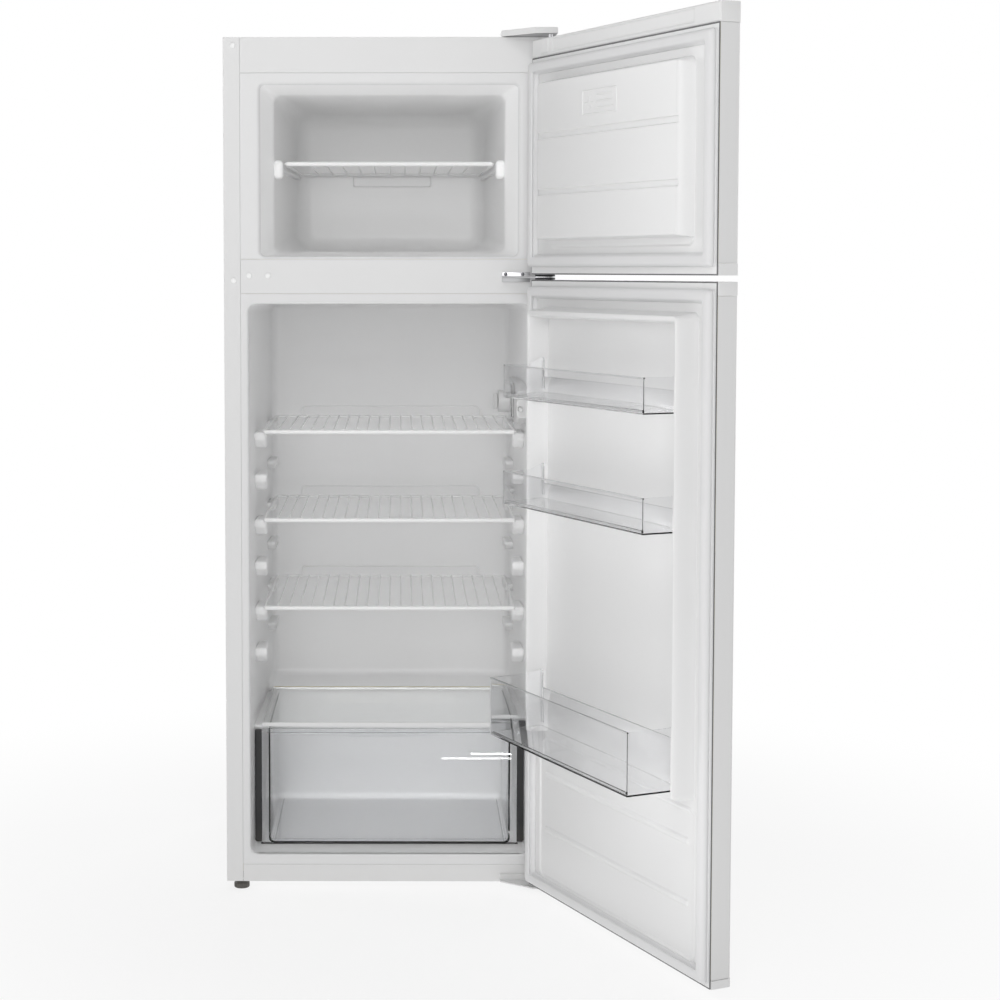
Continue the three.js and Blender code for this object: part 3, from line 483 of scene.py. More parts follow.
def slab(name, x, y, z, radius=1.0):
    """A rounded block between places in millimetres."""
    return block(name, at(x[0], y[0], z[0]), at(x[1], y[1], z[1]), radius * MM)


def mirrored(side, near, far):
    """A span across on the right, or its mirror on the left when side is -1."""
    return (near, far) if side > 0 else (-far, -near)


def on_door(u, w, z):
    """A place on a shut door: u from the hinge edge, w in from the door's inner plane."""
    return Vector((X_RIGHT - u * MM, FRONT + (w - DOOR_GAP) * MM, z * MM))


def door_hoop(u, z, radius, w, steps=6):
    """Points round an upright rectangle on a shut door."""
    across = (X_RIGHT - u[1] * MM, X_RIGHT - u[0] * MM)
    return rounded(across, (z[0] * MM, z[1] * MM), radius * MM, FRONT + (w - DOOR_GAP) * MM, steps)


def door_slab(name, u, w, z, radius=1.0):
    """A rounded block on a shut door."""
    low = on_door(u[1], w[0], z[0])
    high = on_door(u[0], w[1], z[1])
    return block(name, low, high, radius * MM)


def hung(piece):
    """Turned from where the door is shut to where it stands."""
    piece.data.transform(OPENED)
    return piece


# ------------------------------------------------------------------ shader groups
def effect(name, inputs, outputs):
    """An empty shader group with its sockets."""
    group = bpy.data.node_groups.new(name, "ShaderNodeTree")
    for label, (kind, value) in inputs.items():
        socket = group.interface.new_socket(label, in_out="INPUT", socket_type=f"NodeSocket{kind}")
        socket.default_value = value
    for label, kind in outputs.items():
        group.interface.new_socket(label, in_out="OUTPUT", socket_type=f"NodeSocket{kind}")
    return group, group.nodes.new("NodeGroupInput"), group.nodes.new("NodeGroupOutput")


def maths(tree, operation, *values):
    """A sum worked out in the shader; each value is a number or a socket."""
    node = tree.nodes.new("ShaderNodeMath")
    node.operation = operation
    for socket, value in zip(node.inputs, values):
        if isinstance(value, float):
            socket.default_value = value
        else:
            tree.links.new(value, socket)
    return node.outputs[0]


def bumped(tree, shader, height, strength, depth):
    """Relief on a shader from a height socket."""
    bump = tree.nodes.new("ShaderNodeBump")
    bump.inputs["Strength"].default_value = strength
    bump.inputs["Distance"].default_value = depth
    tree.links.new(height, bump.inputs["Height"])
    tree.links.new(bump.outputs[0], shader.inputs["Normal"])


def mixed_shader(tree, share, first, second):
    """The first shader turning into the second as the share goes from 0 to 1."""
    mix = tree.nodes.new("ShaderNodeMixShader")
    tree.links.new(share, mix.inputs["Fac"])
    tree.links.new(first, mix.inputs[1])
    tree.links.new(second, mix.inputs[2])
    return mix.outputs[0]


def object_noise(tree, size_socket, detail, stretch=None):
    """Noise on object coordinates whose size comes from a socket."""
    place = tree.nodes.new("ShaderNodeTexCoord")
    noise = tree.nodes.new("ShaderNodeTexNoise")
    noise.inputs["Detail"].default_value = detail
    source = place.outputs["Object"]
    if stretch:
        mapping = tree.nodes.new("ShaderNodeMapping")
        mapping.inputs["Scale"].default_value = stretch
        tree.links.new(source, mapping.inputs["Vector"])
        source = mapping.outputs["Vector"]
    tree.links.new(source, noise.inputs["Vector"])
    tree.links.new(size_socket, noise.inputs["Scale"])
    return noise.outputs["Fac"]


def spread_round(tree, fac, middle, amount):
    """Noise turned into numbers within an amount of the middle."""
    scaled = maths(tree, "MULTIPLY", maths(tree, "SUBTRACT", fac, 0.5), amount)
    return maths(tree, "ADD", scaled, middle)


def uneven_tone():
    """A colour a little lighter and darker from place to place."""
    group, start, end = effect(
        "uneven_tone",
        {"Color": ("Color", (0.8, 0.8, 0.8, 1)), "Size": ("Float", 4.0), "Amount": ("Float", 0.05)},
        {"Color": "Color"},
    )
    factor = spread_round(group, object_noise(group, start.outputs["Size"], 3), 1.0, start.outputs["Amount"])
    scaled = group.nodes.new("ShaderNodeVectorMath")
    scaled.operation = "SCALE"
    group.links.new(start.outputs["Color"], scaled.inputs[0])
    group.links.new(factor, scaled.inputs["Scale"])
    group.links.new(scaled.outputs[0], end.inputs["Color"])
    return group


def uneven_gloss():
    """Roughness that wanders a little, as handled and wiped surfaces do."""
    group, start, end = effect(
        "uneven_gloss",
        {"Roughness": ("Float", 0.4), "Size": ("Float", 8.0), "Amount": ("Float", 0.1)},
        {"Roughness": "Float"},
    )
    noise = object_noise(group, start.outputs["Size"], 5)
    rough = spread_round(group, noise, start.outputs["Roughness"], start.outputs["Amount"])
    group.links.new(rough, end.inputs[0])
    return group


def moulded_grain():
    """Height of a fine grain over a slow waviness, as on sprayed or moulded surfaces."""
    group, start, end = effect(
        "moulded_grain",
        {"Size": ("Float", 900.0), "Wave": ("Float", 30.0), "Amount": ("Float", 0.5)},
        {"Height": "Float"},
    )
    fine = object_noise(group, start.outputs["Size"], 2)
    slow = object_noise(group, start.outputs["Wave"], 1)
    group.links.new(maths(group, "MULTIPLY_ADD", fine, start.outputs["Amount"], slow), end.inputs[0])
    return group


def settled_dust():
    """Dust that thins out with height above the floor."""
    group, start, end = effect(
        "settled_dust",
        {
            "Color": ("Color", (0.8, 0.8, 0.8, 1)), "Dust": ("Color", (0.5, 0.46, 0.4, 1)),
            "Reach": ("Float", 0.2), "Amount": ("Float", 0.2),
        },
        {"Color": "Color"},
    )
    place = group.nodes.new("ShaderNodeTexCoord")
    split = group.nodes.new("ShaderNodeSeparateXYZ")
    group.links.new(place.outputs["Object"], split.inputs[0])
    fade = group.nodes.new("ShaderNodeMapRange")
    fade.inputs["From Min"].default_value = 0.0
    fade.inputs["To Min"].default_value = 1.0
    fade.inputs["To Max"].default_value = 0.0
    group.links.new(split.outputs["Z"], fade.inputs["Value"])
    group.links.new(start.outputs["Reach"], fade.inputs["From Max"])
    patchy = group.nodes.new("ShaderNodeTexNoise")
    patchy.inputs["Scale"].default_value = 45.0
    patchy.inputs["Detail"].default_value = 6.0
    group.links.new(place.outputs["Object"], patchy.inputs["Vector"])
    thinned = maths(group, "MULTIPLY", fade.outputs[0], patchy.outputs["Fac"])
    amount = maths(group, "MULTIPLY", thinned, start.outputs["Amount"])
    mix = group.nodes.new("ShaderNodeMix")
    mix.data_type = "RGBA"
    group.links.new(amount, mix.inputs["Factor"])
    group.links.new(start.outputs["Color"], mix.inputs["A"])
    group.links.new(start.outputs["Dust"], mix.inputs["B"])
    group.links.new(mix.outputs["Result"], end.inputs[0])
    return group


def drawn_streaks():
    """Roughness in long thin streaks, as on rolled and brushed metal."""
    group, start, end = effect(
        "drawn_streaks",
        {"Roughness": ("Float", 0.3), "Size": ("Float", 60.0), "Amount": ("Float", 0.2)},
        {"Roughness": "Float", "Height": "Float"},
    )
    streak = object_noise(group, start.outputs["Size"], 4, (1, 12, 12))
    rough = spread_round(group, streak, start.outputs["Roughness"], start.outputs["Amount"])
    group.links.new(rough, end.inputs[0])
    group.links.new(streak, end.inputs[1])
    return group


TONE = uneven_tone()
GLOSS = uneven_gloss()
GRAIN = moulded_grain()
DUST = settled_dust()
STREAKS = drawn_streaks()


def placed_group(tree, group, **values):
    """A shader group in a tree, with its inputs set."""
    node = tree.nodes.new("ShaderNodeGroup")
    node.node_tree = group
    for label, value in values.items():
        node.inputs[label].default_value = value
    return node


def shell_of(name, metallic=0.0, **settings):
    """A material with its Principled shader, whose constants are set on the shader itself."""
    material = bpy.data.materials.new(name)
    material.use_nodes = True
    tree = material.node_tree
    shader = tree.nodes["Principled BSDF"]
    shader.inputs["Metallic"].default_value = metallic
    for label, value in settings.items():
        shader.inputs[label.replace("_", " ")].default_value = value
    return material, tree, shader


def coated(tree, shader, colour, roughness, tone, tone_size, gloss, grain, fine, depth, dust, reach):
    """Tone, dust, gloss and grain on a shader."""
    shade = placed_group(tree, TONE, Color=(*colour, 1), Size=tone_size, Amount=tone)
    source = shade.outputs[0]
    if dust:
        dusty = placed_group(tree, DUST, Reach=reach, Amount=dust)
        tree.links.new(source, dusty.inputs["Color"])
        source = dusty.outputs[0]
    tree.links.new(source, shader.inputs["Base Color"])
    wander = placed_group(tree, GLOSS, Roughness=roughness, Size=tone_size * 2.5, Amount=gloss)
    tree.links.new(wander.outputs[0], shader.inputs["Roughness"])
    relief = placed_group(tree, GRAIN, Size=grain, Wave=grain / 25, Amount=fine)
    bumped(tree, shader, relief.outputs[0], 0.35, depth)


def surface(
    name, colour, roughness, tone=0.03, tone_size=3.0, gloss=0.08, grain=900.0, fine=0.3, depth=0.00003,
    dust=0.0, reach=0.25, metallic=0.0, **settings,
):
    """A plain solid finish."""
    material, tree, shader = shell_of(name, metallic, **settings)
    coated(tree, shader, colour, roughness, tone, tone_size, gloss, grain, fine, depth, dust, reach)
    return material


def clear(name, colour, roughness, ior, see_through):
    """Clear plastic or glass that lets most of the light past it on to what stands behind."""
    material, tree, shader = shell_of(name, 0.0, Transmission_Weight=1.0, IOR=ior)
    coated(tree, shader, colour, roughness, 0.015, 6.0, 0.02, 300.0, 0.1, 0.00001, 0.0, 0.2)
    path = tree.nodes.new("ShaderNodeLightPath")
    cover = maths(tree, "MULTIPLY_ADD", path.outputs["Is Shadow Ray"], -see_through, 1.0)
    tree.links.new(cover, shader.inputs["Alpha"])
    return material


def rolled_metal(name, colour, roughness, amount, size):
    """Bare metal with rolling streaks."""
    material, tree, shader = shell_of(name, 1.0)
    shade = placed_group(tree, TONE, Color=(*colour, 1), Size=30.0, Amount=0.15)
    tree.links.new(shade.outputs[0], shader.inputs["Base Color"])
    lines = placed_group(tree, STREAKS, Roughness=roughness, Size=size, Amount=amount)
    tree.links.new(lines.outputs["Roughness"], shader.inputs["Roughness"])
    bumped(tree, shader, lines.outputs["Height"], 0.2, 0.00002)
    return material


def foamed():
    """Cut polyurethane foam: open cells and a yellowed, blotchy tone."""
    material, tree, shader = shell_of("poured_foam")
    shade = placed_group(tree, TONE, Color=(0.74, 0.66, 0.42, 1), Size=18.0, Amount=0.35)
    tree.links.new(shade.outputs[0], shader.inputs["Base Color"])
    wander = placed_group(tree, GLOSS, Roughness=0.88, Size=60.0, Amount=0.15)
    tree.links.new(wander.outputs[0], shader.inputs["Roughness"])
    place = tree.nodes.new("ShaderNodeTexCoord")
    cells = tree.nodes.new("ShaderNodeTexVoronoi")
    cells.inputs["Scale"].default_value = 260.0
    tree.links.new(place.outputs["Object"], cells.inputs["Vector"])
    bumped(tree, shader, cells.outputs["Distance"], 0.8, 0.0008)
    return material


PAINT = surface("white_enamel", (0.745, 0.745, 0.745), 0.36, grain=1400.0, fine=0.25, dust=0.10, reach=0.12)
PLASTIC = surface("white_moulding", (0.77, 0.77, 0.77), 0.42, grain=2200.0, fine=0.5)
# Painted light: the two tub linings are lighter copies of the liner plastic, the freezer's lightest, to make
# up for the shade inside the tubs; the flange copy keeps the tone of the lit front.
LINING_LIGHTENED_FOR_SHADE = surface("formed_lining", (0.935, 0.935, 0.936), 0.34, tone=0.02, grain=700.0, fine=0.2)
FREEZER_LINING_LIGHTENED_FOR_SHADE = surface(
    "formed_freezer_lining", (0.965, 0.965, 0.965), 0.32, tone=0.02, grain=700.0, fine=0.2,
)
FLANGE = surface("liner_flange", (0.745, 0.745, 0.747), 0.34, tone=0.02, grain=700.0, fine=0.2)
DOOR_LINING = surface("formed_door_lining", (0.82, 0.82, 0.82), 0.36, tone=0.02, grain=700.0, fine=0.2)
RUBBER = surface("white_gasket", (0.77, 0.77, 0.775), 0.62, tone=0.06, grain=1600.0, fine=0.8, depth=0.00006)
# Painted shadow: this dark grey strip stands for the shade under the door gasket's lip.
SEAM_SHADOW_GREY = surface("grey_joint", (0.16, 0.16, 0.165), 0.6, tone=0.1, grain=1600.0, fine=0.6)
WIRE = surface("coated_wire", (0.90, 0.90, 0.90), 0.34, tone=0.03, tone_size=20.0, grain=1500.0)
CLEAR = clear("clear_moulding", (0.935, 0.936, 0.94), 0.03, 1.25, 0.90)
DRAWER = clear("clear_drawer", (0.97, 0.974, 0.98), 0.008, 1.28, 0.90)
GLASS = clear("shelf_glass", (0.97, 0.98, 0.975), 0.02, 1.4, 0.93)
STEEL = rolled_metal("plated_steel", (0.50, 0.50, 0.51), 0.32, 0.25, 25.0)
DARK_STEEL = rolled_metal("burnished_steel", (0.16, 0.16, 0.17), 0.28, 0.2, 60.0)
ALUMINIUM = rolled_metal("rolled_aluminium", (0.80, 0.81, 0.82), 0.36, 0.2, 12.0)
COPPER = rolled_metal("copper_tube", (0.72, 0.38, 0.22), 0.32, 0.3, 40.0)
BLACK_STEEL = surface(
    "black_enamel", (0.022, 0.022, 0.024), 0.42, tone=0.3, tone_size=12.0, gloss=0.3, grain=1100.0, fine=0.6,
    dust=0.35, reach=0.9,
)
BLACK_PLASTIC = surface(
    "black_moulding", (0.02, 0.02, 0.021), 0.46, tone=0.3, tone_size=16.0, gloss=0.2, grain=2400.0, fine=0.8,
    depth=0.00008, dust=0.3, reach=0.1,
)
FOAM = foamed()
BULB = surface("lamp_bulb_glass", (0.86, 0.86, 0.83), 0.12, tone=0.04, tone_size=60.0, grain=500.0)


# ------------------------------------------------------------------ small fixings
def screw(name, place, radius, height, side, material):
    """A cross-slot screw with a washer under its head; side is -1 to stand out forwards, 1 backwards."""
    outline = (
        (0, 0), (radius, 0), (radius, 0.35), (radius * 0.8, 0.38), (radius * 0.8, height * 0.7),
        (radius * 0.6, height * 0.94), (radius * 0.28, height), (radius * 0.22, height * 0.7),
        (0, height * 0.68),
    )
    head = turned(name, [(r, -side * h) for r, h in outline], place, "Y", 28)
    pieces = [head]
    top = place + Vector((0, side * height * 0.80 * MM, 0))
    for long_x, long_z in ((radius * 0.5, radius * 0.1), (radius * 0.1, radius * 0.5)):
        half = Vector((long_x, 0.35, long_z)) * MM
        pieces.append(block(f"{name}_slot", top - half, top + half, 0.08 * MM, 2))
    return painted(join_pieces(name, pieces), material)


def dome_plug(node):
    """A pressed-in plug with a low domed head."""
    low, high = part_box(node)
    radius = (high.x - low.x) / 2 / MM
    height = (high.y - low.y) / MM
    outline = [(0, 0), (radius, 0), (radius, height * 0.35)]
    for sine, cosine in quarter_turn(6)[1:]:
        outline.append((radius * (0.08 + 0.84 * cosine), height * (0.45 + 0.55 * sine)))
    outline.append((0, height))
    piece = turned(f"{node}_finished", outline, back_middle(node), "Y", 36)
    finish_piece(piece, "cabinet", "white_plastic", WIRE, node)


# ------------------------------------------------------------------ cabinet shell
def cabinet_shell():
    """The painted outer shell with its rails, folds, niche and back."""
    for node in ("left_side_panel", "right_side_panel"):
        softened(node, "cabinet", "white_paint", PAINT, 0.5 * MM)
    softened("top_panel", "cabinet", "white_paint", PAINT, 0.3 * MM)
    softened("base_pan", "cabinet", "white_paint", PAINT, 0.3 * MM)
    for node in ("top_front_rail", "middle_front_rail", "bottom_front_rail"):
        softened(node, "cabinet", "white_paint", PAINT, 0.45 * MM)
    front_folds()
    niche_sheets()
    back_panel()


def front_folds():
    """Folds that close the corners beside the top panel and back the joints beside the linings."""
    folds = []
    for side in (-1, 1):
        folds.append(slab("corner_fold", mirrored(side, 243, 269.1), (0.9, 12.2), (1408, 1408.9), 0.2))
        folds.append(slab("joint_fold", mirrored(side, 241.8, 244.2), (1.5, 2.0), (46, 1407.5), 0.1))
    finish_piece(join_pieces("front_folds", folds), "cabinet", "white_paint", PAINT)


def niche_sheets():
    """The painted sheets that close the insulation off from the compressor's niche."""
    across = (-268.8, 268.8)
    front, ceiling, gauge = 384.3, 237.5, 0.8
    sheets = [
        slab("niche_wall", across, (front, front + gauge), (8, ceiling), 0.2),
        slab("niche_ceiling", across, (front, 514), (ceiling - gauge, ceiling), 0.2),
    ]
    finish_piece(join_pieces("niche_sheets", sheets), "cabinet", "white_paint", PAINT)


def back_panel():
    """The flat back sheet, the screws along its sides and top, and a blank rating plate."""
    sheet = settled(bevel(from_cad("rear_panel", "rear_panel_sheet"), 0.3 * MM))
    finish_piece(sheet, "cabinet", "white_paint", PAINT, "rear_panel")
    low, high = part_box("rear_panel")
    inset, end = 12 * MM, 25 * MM
    rise = (high.z - low.z - 2 * end) / 5
    places = []
    for x in (low.x + inset, high.x - inset):
        places += [Vector((x, high.y, low.z + end + i * rise)) for i in range(6)]
    for i in range(1, 4):
        places.append(Vector((low.x + i * (high.x - low.x) / 4, high.y, high.z - inset)))
    one = screw("rear_screw", Vector((0, 0, 0)), 4.2, 2.6, 1, STEEL)
    row = grown_from(PLACED, "rear_panel_screws", places, Piece=one, Turn=(0, 0, 0), Material=STEEL)
    bpy.data.objects.remove(one)
    finish_piece(row, "cabinet", "hinge_steel", None)
    plate = slab("rating_plate", (-150, -60), (BACK_AT - 0.02, BACK_AT + 0.5), (1330, 1385), 0.2)
    finish_piece(plate, "cabinet", "white_plastic", PLASTIC)


# ------------------------------------------------------------------ inner tubs
FLANGE_HALF = 242.7
LINING_WALL = 1.4 * MM
FREEZER_BACK = 451.4
FRIDGE_HALF = 230
FRIDGE_BASE = 62.6
FRIDGE_TOP = 976.4
FRIDGE_ROUND = 13
FRIDGE_LIP = 4.0
HALF_PITCH = 71.25  # from a shelf level down to the spare one below it


def along(knots, y):
    """A value that runs straight between the knots."""
    for (y0, a), (y1, b) in zip(knots, knots[1:]):
        if y <= y1:
            return a + (b - a) * (y - y0) / (y1 - y0)
    return knots[-1][1]


def softly(knots, y, reach=6.0):
    """The same with its corners rounded off."""
    inside = [min(max(y + reach * (i - 4) / 4, knots[0][0]), knots[-1][0]) for i in range(9)]
    return sum(along(knots, value) for value in inside) / 9


FREEZER_WIDTHS = [(0, 212), (45, 190), (455, 172)]
FREEZER_BASES = [(0, 1054.7), (45, 1060.7), (455, 1067.7)]
FREEZER_TOPS = [(0, 1333.7), (45, 1318.7), (455, 1316.7)]
FREEZER_ROUNDS = [(0, 8), (45, 12), (455, 38)]


def freezer_ring(y, inset):
    """The freezer tub's outline at a depth, drawn in by an inset."""
    half = softly(FREEZER_WIDTHS, y) - inset
    z = (softly(FREEZER_BASES, y) + inset, softly(FREEZER_TOPS, y) - inset)
    return hoop(half, z, max(softly(FREEZER_ROUNDS, y) - inset, 5), y)


def shelf_ledge(name, side, walls, reaches, y, top, height, soft=3.0):
    """A moulded ledge between the wall and its reach; its front slopes away under the shelf."""
    front, back = y
    slope = min(height * 0.75, 21)
    outline = [
        (front, top), (back, top), (back, top - height), (front + slope, top - height),
        (front, top - height * 0.46),
    ]
    points = []
    for edge_front, edge_back in (reaches, (walls[0] + 1, walls[1] + 1)):
        for py, pz in outline:
            t = (py - front) / (back - front)
            points.append(at(side * (edge_front + (edge_back - edge_front) * t), py, pz))
    count = len(outline)
    faces = [tuple(range(count)), tuple(range(count, 2 * count))]
    faces += [(i, (i + 1) % count, count + (i + 1) % count, count + i) for i in range(count)]
    piece = mesh_piece(name, points, faces)
    return settled(bevel(piece, soft * MM, 4))


def tub_painted_lighter(piece, inner):
    """The flange round a mouth keeps the plastic's tone, and the tub behind it gets a lighter copy: painted
    light that makes up for the shade inside the tub.
    """
    mesh = piece.data
    mesh.materials.clear()
    mesh.materials.append(inner)
    mesh.materials.append(FLANGE)
    for face in mesh.polygons:
        face.material_index = 1 if face.center.y < FRONT + 4.5 * MM else 0
    return piece


def freezer_tub():
    """The tub through rings: a lipped flange, walls that narrow inwards and a rounded back edge."""
    lip, back_edge = 4, 28
    rings = [hoop(FLANGE_HALF, levels_of("freezer_liner"), 0.5, 0)]
    for sine, cosine in quarter_turn(5):
        rings.append(freezer_ring(lip * (1 - cosine), -lip * (1 - sine)))
    for y in (10, 18, 26, 32, 36, 39, 41, 43, 45, 47, 49, 51, 55, 90, 180, 300, 400):
        rings.append(freezer_ring(y, 0))
    for sine, cosine in quarter_turn(12):
        rings.append(freezer_ring(FREEZER_BACK + back_edge * (sine - 1), back_edge * (1 - cosine)))
    rings.append(freezer_ring(FREEZER_BACK, back_edge + 6))
    tub = skin_rings("freezer_tub", rings, angle=50)
    return settled(wall(tub, LINING_WALL, 1), angle=50)


def freezer_back():
    """The tub's back sheet with its shallow recess."""
    def recess(u, z):
        return 3.5 * ease(inside_distance(u, z, (-70, 76), (1184, 1206), 6), 0, 3)

    us = in_steps(-141, 141, 14, ((-68, 6), (74, 6)))
    zs = in_steps(1098.7, 1285.7, 14, ((1186, 6), (1204, 6)))
    sheet = grid_sheet("freezer_back", us, zs, lambda u, h, z: at(u, FREEZER_BACK - 0.03 + h, z), recess)
    return settled(wall(sheet, LINING_WALL, -1))


def freezer_lining():
    """The freezer's tub with its shelf ledges and the catches that hold the shelf's front."""
    pieces = [freezer_tub(), freezer_back()]
    for side in (-1, 1):
        pieces.append(shelf_ledge("freezer_ledge", side, (190, 173), (181, 164), (60, 430), 1203.7, 7, 1.6))
        pieces.append(slab("freezer_catch", mirrored(side, 175.6, 191), (47, 74), (1183, 1213), 6))
    lining = tub_painted_lighter(join_pieces("freezer_lining", pieces), FREEZER_LINING_LIGHTENED_FOR_SHADE)
    finish_piece(lining, "cabinet", "liner_plastic", None, "freezer_liner")


def fridge_lining():
    """The fridge's tub, its flange and the ledges of its shelves."""
    pieces = [fridge_tub(), fridge_flange()]
    for side in (-1, 1):
        pieces += fridge_ledges(side)
    lining = tub_painted_lighter(join_pieces("fridge_lining", pieces), LINING_LIGHTENED_FOR_SHADE)
    finish_piece(lining, "cabinet", "liner_plastic", None, "fridge_liner")


def fridge_half(y):
    """Half the fridge tub's width at a depth."""
    return FRIDGE_HALF - 9 * y / 455


def fridge_tub():
    """The tub as a side outline drawn across, with its corners rounded."""
    step, back, step_top = 350, 455, 272
    outline = [
        (FRIDGE_LIP, FRIDGE_BASE), (step, FRIDGE_BASE), (step, step_top), (back, step_top), (back, 968.5),
        (FRIDGE_LIP, FRIDGE_TOP),
    ]
    points = []
    for side in (-1, 1):
        points += [at(side * fridge_half(y), y, z) for y, z in outline]
    count = len(outline)
    faces = [tuple(range(count)), tuple(range(2 * count - 1, count - 1, -1))]
    faces += [(i, i + 1, count + i + 1, count + i) for i in range(count - 1)]
    tub = settled(bevel(mesh_piece("fridge_tub", points, faces), FRIDGE_ROUND * MM, 6), angle=50)
    return settled(wall(tub, LINING_WALL, 1), angle=50)


def fridge_flange():
    """The flange round the fridge's mouth, rolled over a lip into the tub."""
    rings = [hoop(FLANGE_HALF, levels_of("fridge_liner"), 0.5, 0, 6)]
    for sine, cosine in quarter_turn(5):
        grow = FRIDGE_LIP * (1 - sine)
        z = (FRIDGE_BASE - grow, FRIDGE_TOP + 0.1 + grow)
        rings.append(hoop(FRIDGE_HALF + grow, z, FRIDGE_ROUND + grow, FRIDGE_LIP * (1 - cosine), 6))
    rings.append(hoop(FRIDGE_HALF - 0.1, (FRIDGE_BASE, FRIDGE_TOP), FRIDGE_ROUND, FRIDGE_LIP + 3, 6))
    flange = skin_rings("fridge_flange", rings, angle=50)
    if flange.data.polygons[0].normal.y < 0:
        flange.data.flip_normals()
    return settled(wall(flange, 1.0 * MM, 1), angle=50)


def fridge_ledges(side):
    """Short lugs at the front and rear of each shelf level, and the crisper cover's long ledge."""
    front_lug = shelf_ledge("front_lug", side, (228.3, 226.6), (207.5, 209.5), (95, 165), 0, 28, 5.0)
    rear_lug = shelf_ledge("rear_lug", side, (223.6, 221.6), (208.5, 207.5), (345, 425), 0, 16, 4.0)
    one = join_pieces("ledge", [front_lug, rear_lug])
    levels = []
    for shelf in ("top", "middle", "lower"):
        under = levels_of(f"wire_shelf_{shelf}")[0] - 0.3
        levels += [Vector((0, 0, z * MM)) for z in (under, under - HALF_PITCH)]
    row = grown_from(PLACED, "ledges", levels, Piece=one, Turn=(0, 0, 0), Material=LINING_LIGHTENED_FOR_SHADE)
    bpy.data.objects.remove(one)
    long = shelf_ledge("crisper_ledge", side, (228.6, 223.1), (206.5, 206.5), (73, 351), 263.7, 14, 2.0)
    return [row, long]


# ------------------------------------------------------------------ shelves
def wire_shelf(node, body, level, depth, halves, count, fence):
    """Wires between a thick front rod and a thin back rod, in a bent frame, with a raised fence behind."""
    front, back = depth
    front_half, back_half = halves
    frame_z = level + 3
    corners = [
        at(-front_half + 3, front + 3, frame_z), at(front_half - 3, front + 3, frame_z),
        at(back_half - 3, back - 3, frame_z), at(-back_half + 3, back - 3, frame_z),
    ]
    pieces = [bent_rod("shelf_frame", corners, 2.6 * MM, 9 * MM, WIRE, True)]
    bar = [at(-front_half + 5, front + 3.2, frame_z), at(front_half - 5, front + 3.2, frame_z)]
    pieces.append(bent_rod("shelf_front", bar, 3.7 * MM, 1 * MM, WIRE))
    pitch = 2 * (back_half - 6) / (count + 1)
    start = at(-back_half + 6 + pitch, front + 2.5, level + 4.5)
    pieces.append(grown_from(
        ROD_ROW, "shelf_wires", [], Count=count, Start=start, Step=(pitch * MM, 0, 0),
        Rod=(0, (back - front - 5) * MM, 0), Radius=1.45 * MM, Sides=10, Material=WIRE,
    ))
    if fence:
        half = fence - 1.6
        route = [(-half, 4), (-half, 22.2), (half, 22.2), (half, 4)]
        places = [at(x, back - 3, level + rise) for x, rise in route]
        pieces.append(bent_rod("shelf_fence", places, 1.7 * MM, 8 * MM, WIRE))
    finish_piece(join_pieces(f"{node}_finished", pieces), body, "white_wire", None, node)


def shelves():
    """The freezer's narrowing shelf and the fridge's three straight ones."""
    wire_shelf("freezer_wire_shelf", "freezer_shelf", 1204, (48, 440), (174, 166), 11, 0)
    for name in ("top", "middle", "lower"):
        level = levels_of(f"wire_shelf_{name}")[0]
        wire_shelf(f"wire_shelf_{name}", f"shelf_{name}", level, (60, 420), (213.5, 213.5), 21, 165)


# ------------------------------------------------------------------ crisper
def crisper():
    """The glass cover in its trim, and the clear drawer with black strips round its front, painted shadow in
    the gaps beside it.
    """
    softened("crisper_cover_trim", "crisper_cover", "white_plastic", PLASTIC, 0.7 * MM)
    softened("crisper_cover_glass", "crisper_cover", "shelf_glass", GLASS, 0.4 * MM)
    pieces = [
        settled(bevel(from_cad("crisper_drawer", "crisper_box"), 0.7 * MM), angle=12),
        slab("crisper_lip", (-206, 206), (57.2, 66), (253, 260), 1.2),
        slab("crisper_foot", (-206, 206), (57.2, 60.5), (68, 72), 0.8),
        slab("crisper_pull", (-70, 70), (57.2, 61), (246, 252), 1.2),
    ]
    whole = join_pieces("crisper_drawer_finished", pieces)
    finish_piece(whole, "crisper", "clear_plastic", DRAWER, "crisper_drawer")
    # Painted shadow: black strips fill the gaps between the drawer's front and the tub walls, where shade
    # falls; one more runs under the front.
    seals = [slab("seal", mirrored(side, 215.2, 227.2), (60, 66), (66, 258), 1.6) for side in (-1, 1)]
    seals.append(slab("seal", (-217, 217), (58, 64), (62.9, 65), 0.5))
    finish_piece(join_pieces("crisper_seals", seals), "crisper", "black_plastic", BLACK_PLASTIC)


# ------------------------------------------------------------------ control unit
def control_unit():
    """The housing on the right wall with its lamp, its knob and the lamp's door switch."""
    softened("control_housing", "cabinet", "white_plastic", PLASTIC, 2.2 * MM, 4)
    softened("lamp_bulb", "cabinet", "lamp_glass", BULB, 1.2 * MM)
    lamp_lens()
    thermostat_knob()
    switch_button()


def lamp_lens():
    """The clear lens with its row of upright flutes."""
    lens = settled(bevel(from_cad("lamp_lens", "lamp_lens_plain"), 1.0 * MM))
    low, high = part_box("lamp_lens")
    count = 13
    end, foot = 7 * MM, 5 * MM
    flutes = grown_from(
        ROD_ROW, "lamp_flutes", [], Count=count,
        Start=Vector((low.x + 0.7 * MM, low.y + end, low.z + foot)),
        Step=(0, (high.y - low.y - 2 * end) / (count - 1), 0),
        Rod=(0, 0, high.z - low.z - 2 * foot), Radius=0.7 * MM, Sides=10, Material=CLEAR,
    )
    whole = join_pieces("lamp_lens_finished", [lens, flutes])
    finish_piece(whole, "cabinet", "clear_plastic", CLEAR, "lamp_lens")


